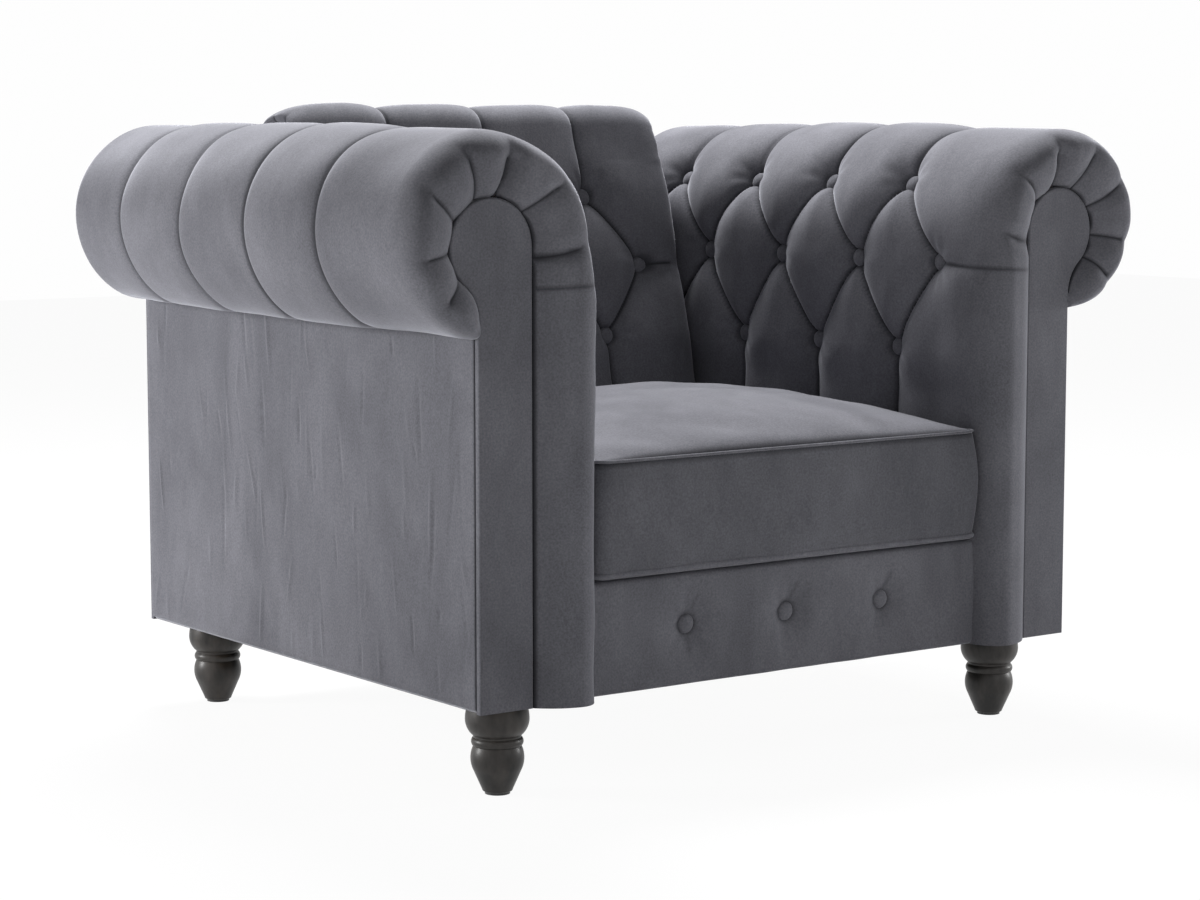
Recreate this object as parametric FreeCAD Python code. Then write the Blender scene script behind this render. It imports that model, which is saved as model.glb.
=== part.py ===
import FreeCAD, Part
import math
import os

V = FreeCAD.Vector

# Rolled-arm club chair with deep-buttoned arms and back, in millimetres.
# X runs to the right as seen from the front, Y to the rear and Z up from the floor.

# Body
seat_width = 624.0  # between the crowns of the two inside arms
overall_depth = 830.0  # front noses of the arms to the rear facings
foot_height = 112.0  # floor to the underside of the body
deck_height = 250.0  # floor to the deck the cushion lies on
clearance = 0.3  # gap between a soft piece and what carries it
wrap_clearance = 1.4  # the same round a curve, where the wrap is drawn in flats

# Arms
arm_height = 778.5  # floor to the top of the roll
roll_radius = 114.5
roll_overhang = 105.0  # how far the roll stands out past the outside panel
column_width = 79.5  # crown of the inside arm to the front facing
facing_width = 74.0
facing_head_radius = 56.0
facing_head_height = 647.0  # floor to the centre of the round head
facing_thickness = 8.0
facing_edge_radius = 3.0
nose_depth = 17.0  # how far the wrapped front stands forward of the facing
nose_length = 38.0  # how far back the rounding of the front begins
nose_peak = 0.42  # where the nose is fullest, as a share of its width
arm_pad_thickness = 50.0
panel_thickness = 7.5
post_thickness = 24.0
rear_facing_thickness = 6.0
rear_rounding = 8.0
tube_wall = 6.5
board_thickness = 5.0
rail_section = 25.0  # thickness of the sawn rails
arm_rail_width = 60.0
top_rail_height = 30.0
fit_gap = 2.0  # left above panels and boards where they meet the round heads

# Tufting
arm_tuft_pitch = 163.0
arm_first_button = 100.0  # facing to the foremost button of the middle row
arm_lower_row = 489.0
arm_middle_row = 605.0
arm_upper_row = 716.0
back_tuft_pitch = 155.0
back_lower_row = 491.0
back_middle_row = 589.0
back_upper_row = 687.5
button_radius = 11.5
button_rim = 2.0
button_dome = 4.5
twine_radius = 1.2  # stitch that draws a button down into its pocket
pocket_dish = 0.8  # how much the middle of a pocket lies below its pleats
button_pocket = 24.0  # width of the pocket a button is drawn into
button_depth = 27.0  # crown of the tufts to the bottom of a pocket
pleat_depth = 10.0
roll_pleat_depth = 6.0
pleat_width = 4.0
pocket_reach = 35.0  # how far a pocket spreads along its pleats
tuft_margin = 20.0  # flat left beyond the last tuft

# Back
back_build = 275.0  # crown of the back, at the deck, to the rear facings
back_height = 812.0
back_lean_middle = 50.0  # how far the crown leans back at the first height
back_lean_top = 109.0  # and at the second
lean_middle_height = 490.0
lean_top_height = 690.0
back_top_radius = 42.0
back_roll_radius = 93.0
back_side_gap = 2.0  # between the back and each inside arm
back_pad_thickness = 50.0
back_head_radius = 50.0
back_head_drop = 81.0  # top of the back to the centre of the posts' round heads
back_head_setback = 20.0  # crest of the roll to the same centre
back_panel_setback = 50.0  # crest of the roll to the outside back
back_nose_depth = 18.0
button_tilt_run = 120.0  # over this the sections turn from level to square with the lean
back_post_thickness = 22.0
waist_rail_rise = 150.0  # deck to the rail across the middle of the back
waist_rail_height = 70.0
sill_height = 60.0

# Seat
rail_cover_thickness = 14.7
rail_cover_setback = 7.0  # behind the front facings
rail_cover_radius = 6.0
rail_button_pitch = 156.0
rail_button_height = 185.0
rail_dimple_depth = 6.0
rail_dimple_radius = 22.0
deck_rise = 15.0  # tops of the seat rails to the deck
side_rail_thickness = 32.0
corner_block_leg = 70.0
corner_block_height = 75.0
corner_block_drop = 10.0  # tops of the seat rails to the tops of the blocks
dust_cover_thickness = 1.2
spring_pitch = 110.0
spring_count = 5
spring_wire = 3.8
spring_half_bar = 9.0
spring_loop = 38.0  # spacing of the bars along a spring
clip_width = 14.0
clip_sheet = 1.5
clip_tail = 9.0

# Cushion
cushion_side_gap = 6.0  # bulged side to the crown of the arm
cushion_overhang = 6.0  # bulged front forward of the facings
cushion_rear_gap = 4.0
cushion_edge_height = 142.0  # bottom seam to top seam
cushion_crown = 56.0  # seams to the middle of the top
cushion_shoulder = 3.0  # the same at the two sides
cushion_bulge = 7.0
cover_thickness = 2.0

# Feet and fasteners
foot_inset_side = 68.5  # outside panel to the axis of a foot
foot_inset_front = 68.0  # front facing to the axis of a foot
foot_inset_rear = 60.0  # rear facing to the axis of a foot
foot_bulb_radius = 38.2
foot_vase_radius = 31.9
foot_sole_radius = 18.0
glide_radius = 15.0
glide_thickness = 3.0
bolt_radius = 4.0
bolt_clearance = 0.2
hanger_length = 48.0
hanger_in_foot = 26.0
plate_side = 56.0
plate_thickness = 2.5
washer_radius = 10.0
washer_thickness = 2.0
head_across_flats = 13.0
head_height = 5.3
nut_plate_side = 26.0
nut_plate_thickness = 4.0
bolt_height = 178.0
bolt_inset = 110.0  # front and rear rails to the bolts in the sides

# Places that follow from the sizes above
inside_x = seat_width / 2
facing_x = inside_x + column_width
panel_x = facing_x + facing_width
frame_x = inside_x + arm_pad_thickness
stem_x = panel_x - panel_thickness
nose_y = -overall_depth / 2
rear_y = overall_depth / 2
facing_y = nose_y + nose_depth
post_y = facing_y + facing_thickness
pad_rear_y = rear_y - rear_facing_thickness
nose_start_y = nose_y + nose_length

seat_rail_top = deck_height - deck_rise
spring_z = seat_rail_top + clip_sheet + spring_wire / 2 + clearance
hook_radius = spring_wire / 2 + clearance
clip_top = spring_z + hook_radius + clip_sheet
pad_bottom = clip_top + clearance
button_seat = button_depth * (1 - button_radius / pocket_reach) - clearance
twine_run = (button_depth + pocket_dish) * (1 - twine_radius / pocket_reach) - clearance - button_seat

head_x = facing_x + facing_head_radius
head_z = facing_head_height
frame_head_radius = head_x - frame_x
roll_x = panel_x + roll_overhang - roll_radius
roll_z = arm_height - roll_radius
inner_radius = roll_x - inside_x
inner_z = arm_height - inner_radius

plate_top = foot_height + plate_thickness
rail_bottom = foot_height + dust_cover_thickness
front_rail_y = facing_y + rail_cover_setback + rail_cover_thickness + clearance
seat_line_y = rear_y - back_build
back_foot_y = seat_line_y + back_pad_thickness
side_rail_x = frame_x - side_rail_thickness
rear_rail_y = back_foot_y + board_thickness - rail_section
foot_x = panel_x - foot_inset_side
foot_ys = [facing_y + foot_inset_front, rear_y - foot_inset_rear]


def segment(a, b):
    return Part.LineSegment(a, b).toShape()


def arc(a, middle, b):
    return Part.Arc(a, middle, b).toShape()


def box(x0, x1, y0, y1, z0, z1):
    return Part.makeBox(x1 - x0, y1 - y0, z1 - z0, V(x0, y0, z0))


def rod(radius, start, end):
    axis = end - start
    return Part.makeCylinder(radius, axis.Length, start, axis)


def mirrored(shape):
    return shape.mirror(V(0, 0, 0), V(1, 0, 0))


def polar(centre, radius, angle):
    return centre[0] + radius * math.cos(angle), centre[1] + radius * math.sin(angle)


def share(a, b, t):
    return a + (b - a) * t


def extruded(edges, direction):
    return Part.Face(Part.Wire(edges)).extrude(direction)


def save(node, *solids):
    shape = solids[0] if len(solids) == 1 else Part.makeCompound(list(solids))
    shape.exportStep("parts/" + node + ".step")


def skinned(sections):
    """Solid through closed loops that all hold the same number of edges."""
    faces = [Part.Face(Part.Wire(sections[0])), Part.Face(Part.Wire(sections[-1]))]
    for low, high in zip(sections, sections[1:]):
        faces += [Part.makeRuledSurface(a, b) for a, b in zip(low, high)]
    shell = Part.makeShell(faces)
    shell.sewShape()
    solid = Part.makeSolid(shell)
    if solid.Volume < 0:
        solid.reverse()
    return solid


def puffs(place, stations):
    """Arcs between neighbouring pleats; a narrow gap stays down, a wide one swells to the crown."""
    edges = []
    for (a, depth_a), (b, depth_b) in zip(stations, stations[1:]):
        mean = (depth_a + depth_b) / 2
        rise = min(1.0, max(0.0, abs(b - a) / button_pocket - 1))
        middle = share(mean + pocket_dish, abs(depth_a - depth_b) / 4, rise)
        if abs(middle - mean) < 0.1:
            middle = mean - 0.2
        edges.append(arc(place(depth_a, a), place(middle, (a + b) / 2), place(depth_b, b)))
    return edges


def nose_arcs(place, width, start, peak, end):
    """Rounded front of a wrapped edge, from the crown over the nose to the facing."""
    half = nose_peak * width
    full, short = math.sin(math.pi / 4), 1 - math.sin(math.pi / 4)
    first = arc(
        place(0, start), place(short * half, share(start, peak, full)), place(half, peak)
    )
    second = arc(
        place(half, peak), place(share(half, width, full), share(peak, end, short)), place(width, end)
    )
    return [first, second]


def pleat_state(s, rows, roll_depth):
    """How far the pleats have swung to the middle row, their depth and the width of closed pairs."""
    low, middle, high = rows
    near = max(0.0, 1 - min(abs(s - row) for row in rows) / pocket_reach)
    if s <= low or s >= high:
        swing = 0.0
        base = roll_depth
    else:
        swing = (s - low) / (middle - low) if s < middle else (high - s) / (high - middle)
        base = pleat_depth
    return swing, share(base, button_depth, near), share(pleat_width, button_pocket, near)


def row_levels(rows):
    """Levels that catch each row, the reach of its pockets and the middle of each tuft."""
    levels = [rows[0] - pocket_reach]
    for low, high in zip(rows, rows[1:]):
        levels += [low, low + pocket_reach, (low + high) / 2, high - pocket_reach]
    return levels + [rows[-1], rows[-1] + pocket_reach]


def covered_button(place, outward, twine=0.0):
    """Low drum under a dome cut from a ball, set down with its flat side at the given place."""
    ball = (button_radius**2 + button_dome**2) / (2 * button_dome)
    height = button_rim + button_dome
    drum = Part.makeCylinder(button_radius, height)
    button = drum.common(Part.makeSphere(ball, V(0, 0, height - ball)))
    if twine:
        button = button.fuse(rod(twine_radius, V(0, 0, -twine), V(0, 0, 0)))
    button.Placement = FreeCAD.Placement(place, FreeCAD.Rotation(V(0, 0, 1), outward))
    return button


# Outline shared by the front facing and the wrap that meets it
head = (head_x, head_z)
end_x = panel_x + clearance
frame_end_angle = -math.acos((end_x - head_x) / (frame_head_radius + wrap_clearance))
waist_z = polar(head, frame_head_radius + wrap_clearance, frame_end_angle)[1] + fit_gap
head_reach = panel_x - head_x
waist_drop = head_z - waist_z
waist_radius = (head_reach**2 + waist_drop**2 - facing_head_radius**2) / (
    2 * (facing_head_radius - head_reach)
)
waist = (panel_x + waist_radius, waist_z)
neck_angle = math.atan2(-waist_drop, head_reach + waist_radius)


def facing_outline(y):
    def at(point):
        return V(point[0], y, point[1])

    tip = [polar(head, facing_head_radius, math.pi + (neck_angle - math.pi) * k / 4) for k in range(5)]
    neck = [polar(waist, waist_radius, share(neck_angle, 0, k / 2) + math.pi) for k in range(3)]
    foot_in, foot_out = (facing_x, foot_height), (panel_x, foot_height)
    return [
        segment(at(foot_in), at(tip[0])),
        arc(at(tip[0]), at(tip[1]), at(tip[2])),
        arc(at(tip[2]), at(tip[3]), at(tip[4])),
        arc(at(tip[4]), at(neck[1]), at(neck[2])),
        segment(at(neck[2]), at(foot_out)),
        segment(at(foot_out), at(foot_in)),
    ]


# Path of the arm's crown, measured along its surface from the bottom of the pad
straight_run = inner_z - pad_bottom
inner_run = inner_radius * math.pi / 2
roll_end_angle = -math.acos((end_x - roll_x) / roll_radius)
roll_run = roll_radius * (math.pi / 2 - roll_end_angle)
crown_run = straight_run + inner_run + roll_run


def arm_crown(s):
    if s <= straight_run:
        return inside_x, pad_bottom + s
    if s <= straight_run + inner_run:
        return polar((roll_x, inner_z), inner_radius, math.pi - (s - straight_run) / inner_radius)
    along = (s - straight_run - inner_run) / roll_radius
    return polar((roll_x, roll_z), roll_radius, math.pi / 2 - along)


def arm_station(s):
    """Crown, frame and facing edge in one section across the arm."""
    crown = arm_crown(s)
    if crown[1] < head_z and s < straight_run + inner_run:
        return crown, (frame_x - clearance, crown[1]), (facing_x - clearance, crown[1])
    angle = math.atan2(crown[1] - head_z, crown[0] - head_x)
    last = arm_crown(crown_run)
    last_angle = math.atan2(last[1] - head_z, last[0] - head_x)
    if angle > neck_angle:
        frame = polar(head, frame_head_radius + wrap_clearance, angle)
        return crown, frame, polar(head, facing_head_radius + wrap_clearance, angle)
    t = (neck_angle - angle) / (neck_angle - last_angle)
    frame = polar(head, frame_head_radius + wrap_clearance, share(neck_angle, frame_end_angle, t))
    edge = polar(waist, waist_radius - clearance, share(neck_angle, 0, t) + math.pi)
    return crown, frame, edge


def arm_place(s):
    crown, frame, edge = arm_station(s)
    run = math.hypot(edge[0] - crown[0], edge[1] - crown[1])
    dx, dz = (edge[0] - crown[0]) / run, (edge[1] - crown[1]) / run

    def place(depth, y):
        return V(crown[0] + dx * depth, y, crown[1] + dz * depth)

    return place, run


def arm_row(height):
    """Distance along the crown at which it reaches a height on the inside."""
    if height <= inner_z:
        return height - pad_bottom
    return straight_run + inner_radius * math.asin((height - inner_z) / inner_radius)


arm_rows = [arm_row(arm_lower_row), arm_row(arm_middle_row), arm_row(arm_upper_row)]
pad_flat_y = pad_rear_y - clearance - rear_rounding
arm_half = arm_tuft_pitch / 2
first_y = facing_y + arm_first_button
arm_tufts = 1 + int((pad_flat_y - tuft_margin - arm_half - first_y - arm_half) / arm_tuft_pitch)
arm_even = [first_y + arm_half + arm_tuft_pitch * k for k in range(arm_tufts)][::-1]
arm_odd = [y - arm_half for y in arm_even]


def arm_tracks(s):
    swing, depth, gap = pleat_state(s, arm_rows, roll_pleat_depth)
    tracks = []
    for even, odd in zip(arm_even, arm_odd):
        rear, front = odd + arm_tuft_pitch - gap / 2, odd + gap / 2
        tracks += [(share(even + gap / 2, rear, swing), depth)]
        tracks += [(share(even - gap / 2, front, swing), depth)]
    last = share((nose_start_y + arm_odd[-1] - button_pocket / 2) / 2, arm_odd[-1] - gap / 2, swing)
    return tracks + [(last, share(1.0, depth, swing))]


def arm_section(s):
    crown, frame, edge = arm_station(s)
    place, run = arm_place(s)
    pad_end_y = pad_rear_y - clearance
    stations = [(pad_flat_y, 0)] + arm_tracks(s) + [(nose_start_y, 0)]
    turn = 1 - math.sin(math.pi / 4)
    edge_front, edge_back = V(edge[0], facing_y, edge[1]), V(edge[0], post_y - clearance, edge[1])
    frame_front = V(frame[0], post_y - clearance, frame[1])
    frame_rear = V(frame[0], pad_end_y, frame[1])
    rear_tip = place(rear_rounding, pad_end_y)
    rear_middle = place(rear_rounding * turn, pad_end_y - rear_rounding * turn)
    return (
        puffs(place, stations)
        + nose_arcs(place, run, nose_start_y, nose_y, facing_y)
        + [
            segment(edge_front, edge_back),
            segment(edge_back, frame_front),
            segment(frame_front, frame_rear),
            segment(frame_rear, rear_tip),
            arc(rear_tip, rear_middle, place(0, pad_flat_y)),
        ]
    )


def arm_pad():
    levels = [0.0] + row_levels(arm_rows)
    turns = 13
    rest = crown_run - levels[-1]
    levels += [levels[-1] + rest * (k + 1) / turns for k in range(turns)]
    upper = skinned([arm_section(s) for s in levels])

    def place(depth, y):
        return V(inside_x + depth, y, foot_height)

    column_rear = front_rail_y - clearance
    run = column_width - clearance
    inside, step = place(0, column_rear), frame_x - clearance - inside_x
    loop = (
        [segment(inside, place(0, nose_start_y))]
        + nose_arcs(place, run, nose_start_y, nose_y, facing_y)
        + [
            segment(place(run, facing_y), place(run, post_y - clearance)),
            segment(place(run, post_y - clearance), place(step, post_y - clearance)),
            segment(place(step, post_y - clearance), place(step, column_rear)),
            segment(place(step, column_rear), inside),
        ]
    )
    rise = pad_bottom - foot_height
    column = extruded(loop, V(0, 0, rise))
    tail_y = pad_rear_y - post_thickness
    tail = box(
        inside_x + rear_rounding, inside_x + step, tail_y, pad_rear_y - clearance, foot_height, pad_bottom
    )
    return upper.fuse([column, tail])


def arm_buttons():
    buttons = []
    for row, ys in zip(arm_rows, (arm_even[1:], arm_odd, arm_even)):
        place = arm_place(row)[0]
        outward = place(0, 0) - place(1, 0)
        buttons += [covered_button(place(button_seat, y), outward, twine_run) for y in ys]
    return buttons


def arm_post(y0, y1):
    stem = box(frame_x, stem_x, y0, y1, plate_top, head_z)
    disc = rod(frame_head_radius, V(head_x, y0, head_z), V(head_x, y1, head_z))
    return stem.fuse(disc).removeSplitter()


def rear_facing():
    """Flat end of the whole arm, set in from the crown by the rounding."""
    y = pad_rear_y

    def at(point):
        return V(point[0], y, point[1])

    inside = inside_x + rear_rounding
    big, small = inner_radius - rear_rounding, roll_radius - rear_rounding
    inner, roll = (roll_x, inner_z), (roll_x, roll_z)
    end = -math.acos((panel_x - roll_x) / small)
    turn = [polar(roll, small, share(math.pi / 2, end, k / 4)) for k in range(5)]
    loop = [
        segment(at((inside, foot_height)), at((inside, inner_z))),
        arc(at((inside, inner_z)), at(polar(inner, big, math.pi * 0.75)), at((roll_x, inner_z + big))),
        arc(at(turn[0]), at(turn[1]), at(turn[2])),
        arc(at(turn[2]), at(turn[3]), at(turn[4])),
        segment(at(turn[4]), at((panel_x, foot_height))),
        segment(at((panel_x, foot_height)), at((inside, foot_height))),
    ]
    return extruded(loop, V(0, rear_facing_thickness, 0))


def build_arms():
    rear_post_y = pad_rear_y - post_thickness
    front_post_rear = post_y + post_thickness
    tube_bottom = head_z - frame_head_radius
    board_reach = frame_head_radius - board_thickness
    board_top = head_z - math.sqrt(frame_head_radius**2 - board_reach**2) - fit_gap
    facing = extruded(facing_outline(facing_y), V(0, facing_thickness, 0))
    front_edges = [
        e
        for e in facing.Edges
        if abs(e.BoundBox.YMin - facing_y) < 0.01
        and e.BoundBox.YLength < 0.01
        and e.BoundBox.ZMax > foot_height + 1
    ]
    facing = facing.makeFillet(facing_edge_radius, front_edges)
    bottom = box(frame_x, stem_x, front_post_rear, rear_post_y, plate_top, plate_top + rail_section)
    for y in foot_ys:
        bottom = bottom.cut(rod(bolt_radius + bolt_clearance, V(foot_x, y, 0), V(foot_x, y, deck_height)))
    rail_top = deck_height + arm_rail_width
    middle = box(frame_x + board_thickness, stem_x, front_post_rear, rear_post_y, deck_height, rail_top)
    top_low, top_x = tube_bottom - top_rail_height, stem_x - arm_rail_width
    top = box(top_x, stem_x, front_post_rear, rear_post_y, top_low, tube_bottom)
    board = box(
        frame_x,
        frame_x + board_thickness,
        front_post_rear,
        rear_post_y,
        plate_top + rail_section,
        board_top,
    )
    for y in arm_bolt_ys:
        hole = rod(bolt_radius + bolt_clearance, V(frame_x - 1, y, bolt_height), V(stem_x, y, bolt_height))
        board = board.cut(hole)
    tube = rod(frame_head_radius, V(head_x, front_post_rear, head_z), V(head_x, rear_post_y, head_z))
    bore = rod(
        frame_head_radius - tube_wall,
        V(head_x, front_post_rear - 1, head_z),
        V(head_x, rear_post_y + 1, head_z),
    )
    panel_top = head_z - math.sqrt(frame_head_radius**2 - (stem_x - head_x) ** 2) - fit_gap
    panel = box(stem_x, panel_x, post_y, pad_rear_y, foot_height, panel_top)
    right = {
        "arm_pad": [arm_pad()],
        "arm_front_facing": [facing],
        "arm_rear_facing": [rear_facing()],
        "arm_outside_panel": [panel],
        "arm_front_post": [arm_post(post_y, front_post_rear)],
        "arm_rear_post": [arm_post(rear_post_y, pad_rear_y)],
        "arm_rails": [bottom, middle, top],
        "arm_inner_board": [board],
        "arm_roll_tube": [tube.cut(bore)],
        "arm_buttons": arm_buttons(),
    }
    for name, solids in right.items():
        save("right_" + name, *solids)
        save("left_" + name, *[mirrored(s) for s in solids])
        print("arms", name, round(sum(s.Volume for s in solids) / 1e6, 3), "litres")


# Crown of the back: one long arc that leans away, a tight turn at the top and the roll behind
def circle_through(a, b, c):
    ax, ay, bx, by, cx, cy = *a, *b, *c
    d = 2 * (ax * (by - cy) + bx * (cy - ay) + cx * (ay - by))
    sa, sb, sc = ax**2 + ay**2, bx**2 + by**2, cx**2 + cy**2
    x = (sa * (by - cy) + sb * (cy - ay) + sc * (ay - by)) / d
    y = (sa * (cx - bx) + sb * (ax - cx) + sc * (bx - ax)) / d
    return (x, y), math.hypot(ax - x, ay - y)


lean, lean_radius = circle_through(
    (seat_line_y, deck_height),
    (seat_line_y + back_lean_middle, lean_middle_height),
    (seat_line_y + back_lean_top, lean_top_height),
)
top_z = back_height - back_top_radius
crest_y = lean[0] - math.sqrt((lean_radius - back_top_radius) ** 2 - (top_z - lean[1]) ** 2)
tangent_angle = math.atan2(top_z - lean[1], crest_y - lean[0])
tangent_z = polar(lean, lean_radius, tangent_angle)[1]
back_roll = (crest_y, back_height - back_roll_radius)
back_panel_y = crest_y + back_panel_setback
back_end_y = back_panel_y + clearance
back_head = (crest_y + back_head_setback, back_height - back_head_drop)
back_frame_radius = back_head_radius + wrap_clearance
back_half = inside_x - back_side_gap
back_facing_x = back_half - back_nose_depth
back_post_x = back_facing_x - facing_thickness
back_flat_x = back_half - nose_length
back_frame_end = -math.acos((back_end_y - back_head[0]) / back_frame_radius)
back_roll_end = -math.acos((back_end_y - back_roll[0]) / back_roll_radius)
lower_run = tangent_z - pad_bottom
turn_angle = math.atan2(math.sin(tangent_angle), math.cos(tangent_angle)) % (2 * math.pi)
turn_run = back_top_radius * (turn_angle - math.pi / 2)
back_run = lower_run + turn_run + back_roll_radius * (math.pi / 2 - back_roll_end)


def lean_y(z):
    return lean[0] - math.sqrt(lean_radius**2 - (z - lean[1]) ** 2)


def back_crown(s):
    if s <= lower_run:
        return lean_y(pad_bottom + s), pad_bottom + s
    if s <= lower_run + turn_run:
        return polar((crest_y, top_z), back_top_radius, turn_angle - (s - lower_run) / back_top_radius)
    return polar(back_roll, back_roll_radius, math.pi / 2 - (s - lower_run - turn_run) / back_roll_radius)


def board_y(z):
    """Front of the back's board: straight from the foot of the back to the posts' heads."""
    t = (z - pad_bottom) / (back_head[1] - pad_bottom)
    return share(back_foot_y, back_head[0] - back_head_radius, t)


def back_station(s):
    crown = back_crown(s)
    if crown[1] < back_head[1] and s < lower_run:
        square = min(1.0, s / button_tilt_run)
        tilt = square * math.asin((crown[1] - lean[1]) / lean_radius)
        slope = (board_y(pad_bottom + 1) - board_y(pad_bottom)) * math.sin(tilt)
        run = (board_y(crown[1]) - clearance - crown[0]) / (math.cos(tilt) + slope)
        return crown, (crown[0] + run * math.cos(tilt), crown[1] - run * math.sin(tilt))
    angle = math.atan2(crown[1] - back_head[1], crown[0] - back_head[0])
    crest_angle = math.atan2(back_height - back_head[1], crest_y - back_head[0])
    if angle >= crest_angle:
        return crown, polar(back_head, back_frame_radius, angle)
    last = back_crown(back_run)
    last_angle = math.atan2(last[1] - back_head[1], last[0] - back_head[0])
    t = (crest_angle - angle) / (crest_angle - last_angle)
    return crown, polar(back_head, back_frame_radius, share(crest_angle, back_frame_end, t))


def back_place(s):
    crown, frame = back_station(s)
    run = math.hypot(frame[0] - crown[0], frame[1] - crown[1])
    dy, dz = (frame[0] - crown[0]) / run, (frame[1] - crown[1]) / run

    def place(depth, x):
        return V(x, crown[0] + dy * depth, crown[1] + dz * depth)

    return place, run


back_rows = [z - pad_bottom for z in (back_lower_row, back_middle_row, back_upper_row)]
back_pitch_half = back_tuft_pitch / 2
back_tufts = 1 + int((2 * back_flat_x - back_tuft_pitch - 2 * tuft_margin) / back_tuft_pitch)
back_even = [(k - (back_tufts - 1) / 2) * back_tuft_pitch for k in range(back_tufts)]
back_odd = [back_even[0] - back_pitch_half] + [x + back_pitch_half for x in back_even]


def back_tracks(s):
    swing, depth, gap = pleat_state(s, back_rows, roll_pleat_depth)
    outer = (back_flat_x + back_odd[-1] + button_pocket / 2) / 2
    edge_x = share(outer, back_odd[-1] + gap / 2, swing)
    tracks = [(-edge_x, share(1.0, depth, swing))]
    for x, left, right in zip(back_even, back_odd, back_odd[1:]):
        tracks.append((share(x - gap / 2, left + gap / 2, swing), depth))
        tracks.append((share(x + gap / 2, right - gap / 2, swing), depth))
    return tracks + [(edge_x, share(1.0, depth, swing))]


def back_section(s):
    place, run = back_place(s)
    stations = [(-back_flat_x, 0)] + back_tracks(s) + [(back_flat_x, 0)]
    right = nose_arcs(place, run, back_flat_x, back_half, back_facing_x)
    left = nose_arcs(place, run, -back_flat_x, -back_half, -back_facing_x)
    base = segment(place(run, back_facing_x), place(run, -back_facing_x))
    closing = []
    for edge in reversed(left):
        points = [edge.Vertexes[1].Point, edge.valueAt(edge.ParameterRange[1] / 2), edge.Vertexes[0].Point]
        closing.append(arc(*points))
    return puffs(place, stations) + right + [base] + closing


def back_pad():
    turns = 12
    levels = [0.0] + row_levels(back_rows)
    rest = back_run - levels[-1]
    levels += [levels[-1] + rest * (k + 1) / turns for k in range(turns)]
    return skinned([back_section(s) for s in levels])


def back_buttons():
    buttons = []
    for row, xs in zip(back_rows, (back_even, back_odd, back_even)):
        place = back_place(row)[0]
        outward = place(0, 0) - place(1, 0)
        buttons += [covered_button(place(button_seat, x), outward, twine_run) for x in xs]
    return buttons


def post_outline(x, inset, bottom):
    """Side of the back frame; the inset leaves room for the board on its front."""

    def at(y, z):
        return V(x, y, z)

    rear = back_panel_y - panel_thickness
    front_low = back_foot_y + inset
    front_high = back_head[0] - back_head_radius + inset
    radius = back_head_radius - inset
    end = -math.acos((rear - back_head[0]) / radius)
    turn = [polar(back_head, radius, share(math.pi, end, k / 4)) for k in range(5)]
    return [
        segment(at(front_low, bottom), at(front_low, pad_bottom)),
        segment(at(front_low, pad_bottom), at(front_high, back_head[1])),
        arc(at(*turn[0]), at(*turn[1]), at(*turn[2])),
        arc(at(*turn[2]), at(*turn[3]), at(*turn[4])),
        segment(at(*turn[4]), at(rear, bottom)),
        segment(at(rear, bottom), at(front_low, bottom)),
    ]


def build_back():
    post_inner_x = back_post_x - back_post_thickness
    post = extruded(post_outline(post_inner_x, board_thickness, rail_bottom), V(back_post_thickness, 0, 0))
    facing = extruded(post_outline(back_post_x, 0, seat_rail_top + clearance), V(facing_thickness, 0, 0))
    rear = back_panel_y - panel_thickness
    half = post_inner_x
    front = back_foot_y + board_thickness
    low = box(-half, half, front, front + rail_section, rail_bottom, seat_rail_top)
    for x in back_bolt_xs:
        bore = rod(bolt_radius + bolt_clearance, V(x, front - 1, bolt_height), V(x, rear, bolt_height))
        low = low.cut(bore)
    waist_low = deck_height + waist_rail_rise
    waist_rail = box(-half, half, rear - rail_section, rear, waist_low, waist_low + waist_rail_height)
    sill = box(-half, half, rear - rail_section, rear, rail_bottom, rail_bottom + sill_height)
    radius = back_head_radius - board_thickness
    tube = rod(radius, V(-half, *back_head), V(half, *back_head))
    tube = tube.cut(rod(radius - tube_wall, V(-half - 1, *back_head), V(half + 1, *back_head)))
    corners = [
        (back_foot_y, pad_bottom),
        (back_head[0] - back_head_radius, back_head[1]),
        (back_head[0] - back_head_radius + board_thickness, back_head[1]),
        (back_foot_y + board_thickness, pad_bottom),
    ]
    loop = [V(-back_post_x, y, z) for y, z in corners + corners[:1]]
    board = extruded([segment(a, b) for a, b in zip(loop, loop[1:])], V(2 * back_post_x, 0, 0))
    panel_top = back_head[1] - math.sqrt(back_head_radius**2 - (rear - back_head[0]) ** 2) - clearance
    panel = box(-back_half, back_half, rear, back_panel_y, foot_height, panel_top)
    save("back_pad", back_pad())
    save("back_buttons", *back_buttons())
    save("back_board", board)
    save("back_rails", low, waist_rail, sill)
    save("back_roll_tube", tube)
    save("back_outside_panel", panel)
    save("back_right_post", post)
    save("back_left_post", mirrored(post))
    save("back_right_facing", facing)
    save("back_left_facing", mirrored(facing))
    print("back crest at", round(crest_y, 1), "rear of roll", round(crest_y + back_roll_radius, 1))


# Seat frame, springs and deck
arm_bolt_ys = [front_rail_y + bolt_inset, rear_rail_y - bolt_inset]
back_bolt_xs = [-seat_width / 3, 0, seat_width / 3]
spring_front = front_rail_y + rail_section / 2
spring_rear = rear_rail_y + rail_section / 2


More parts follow.
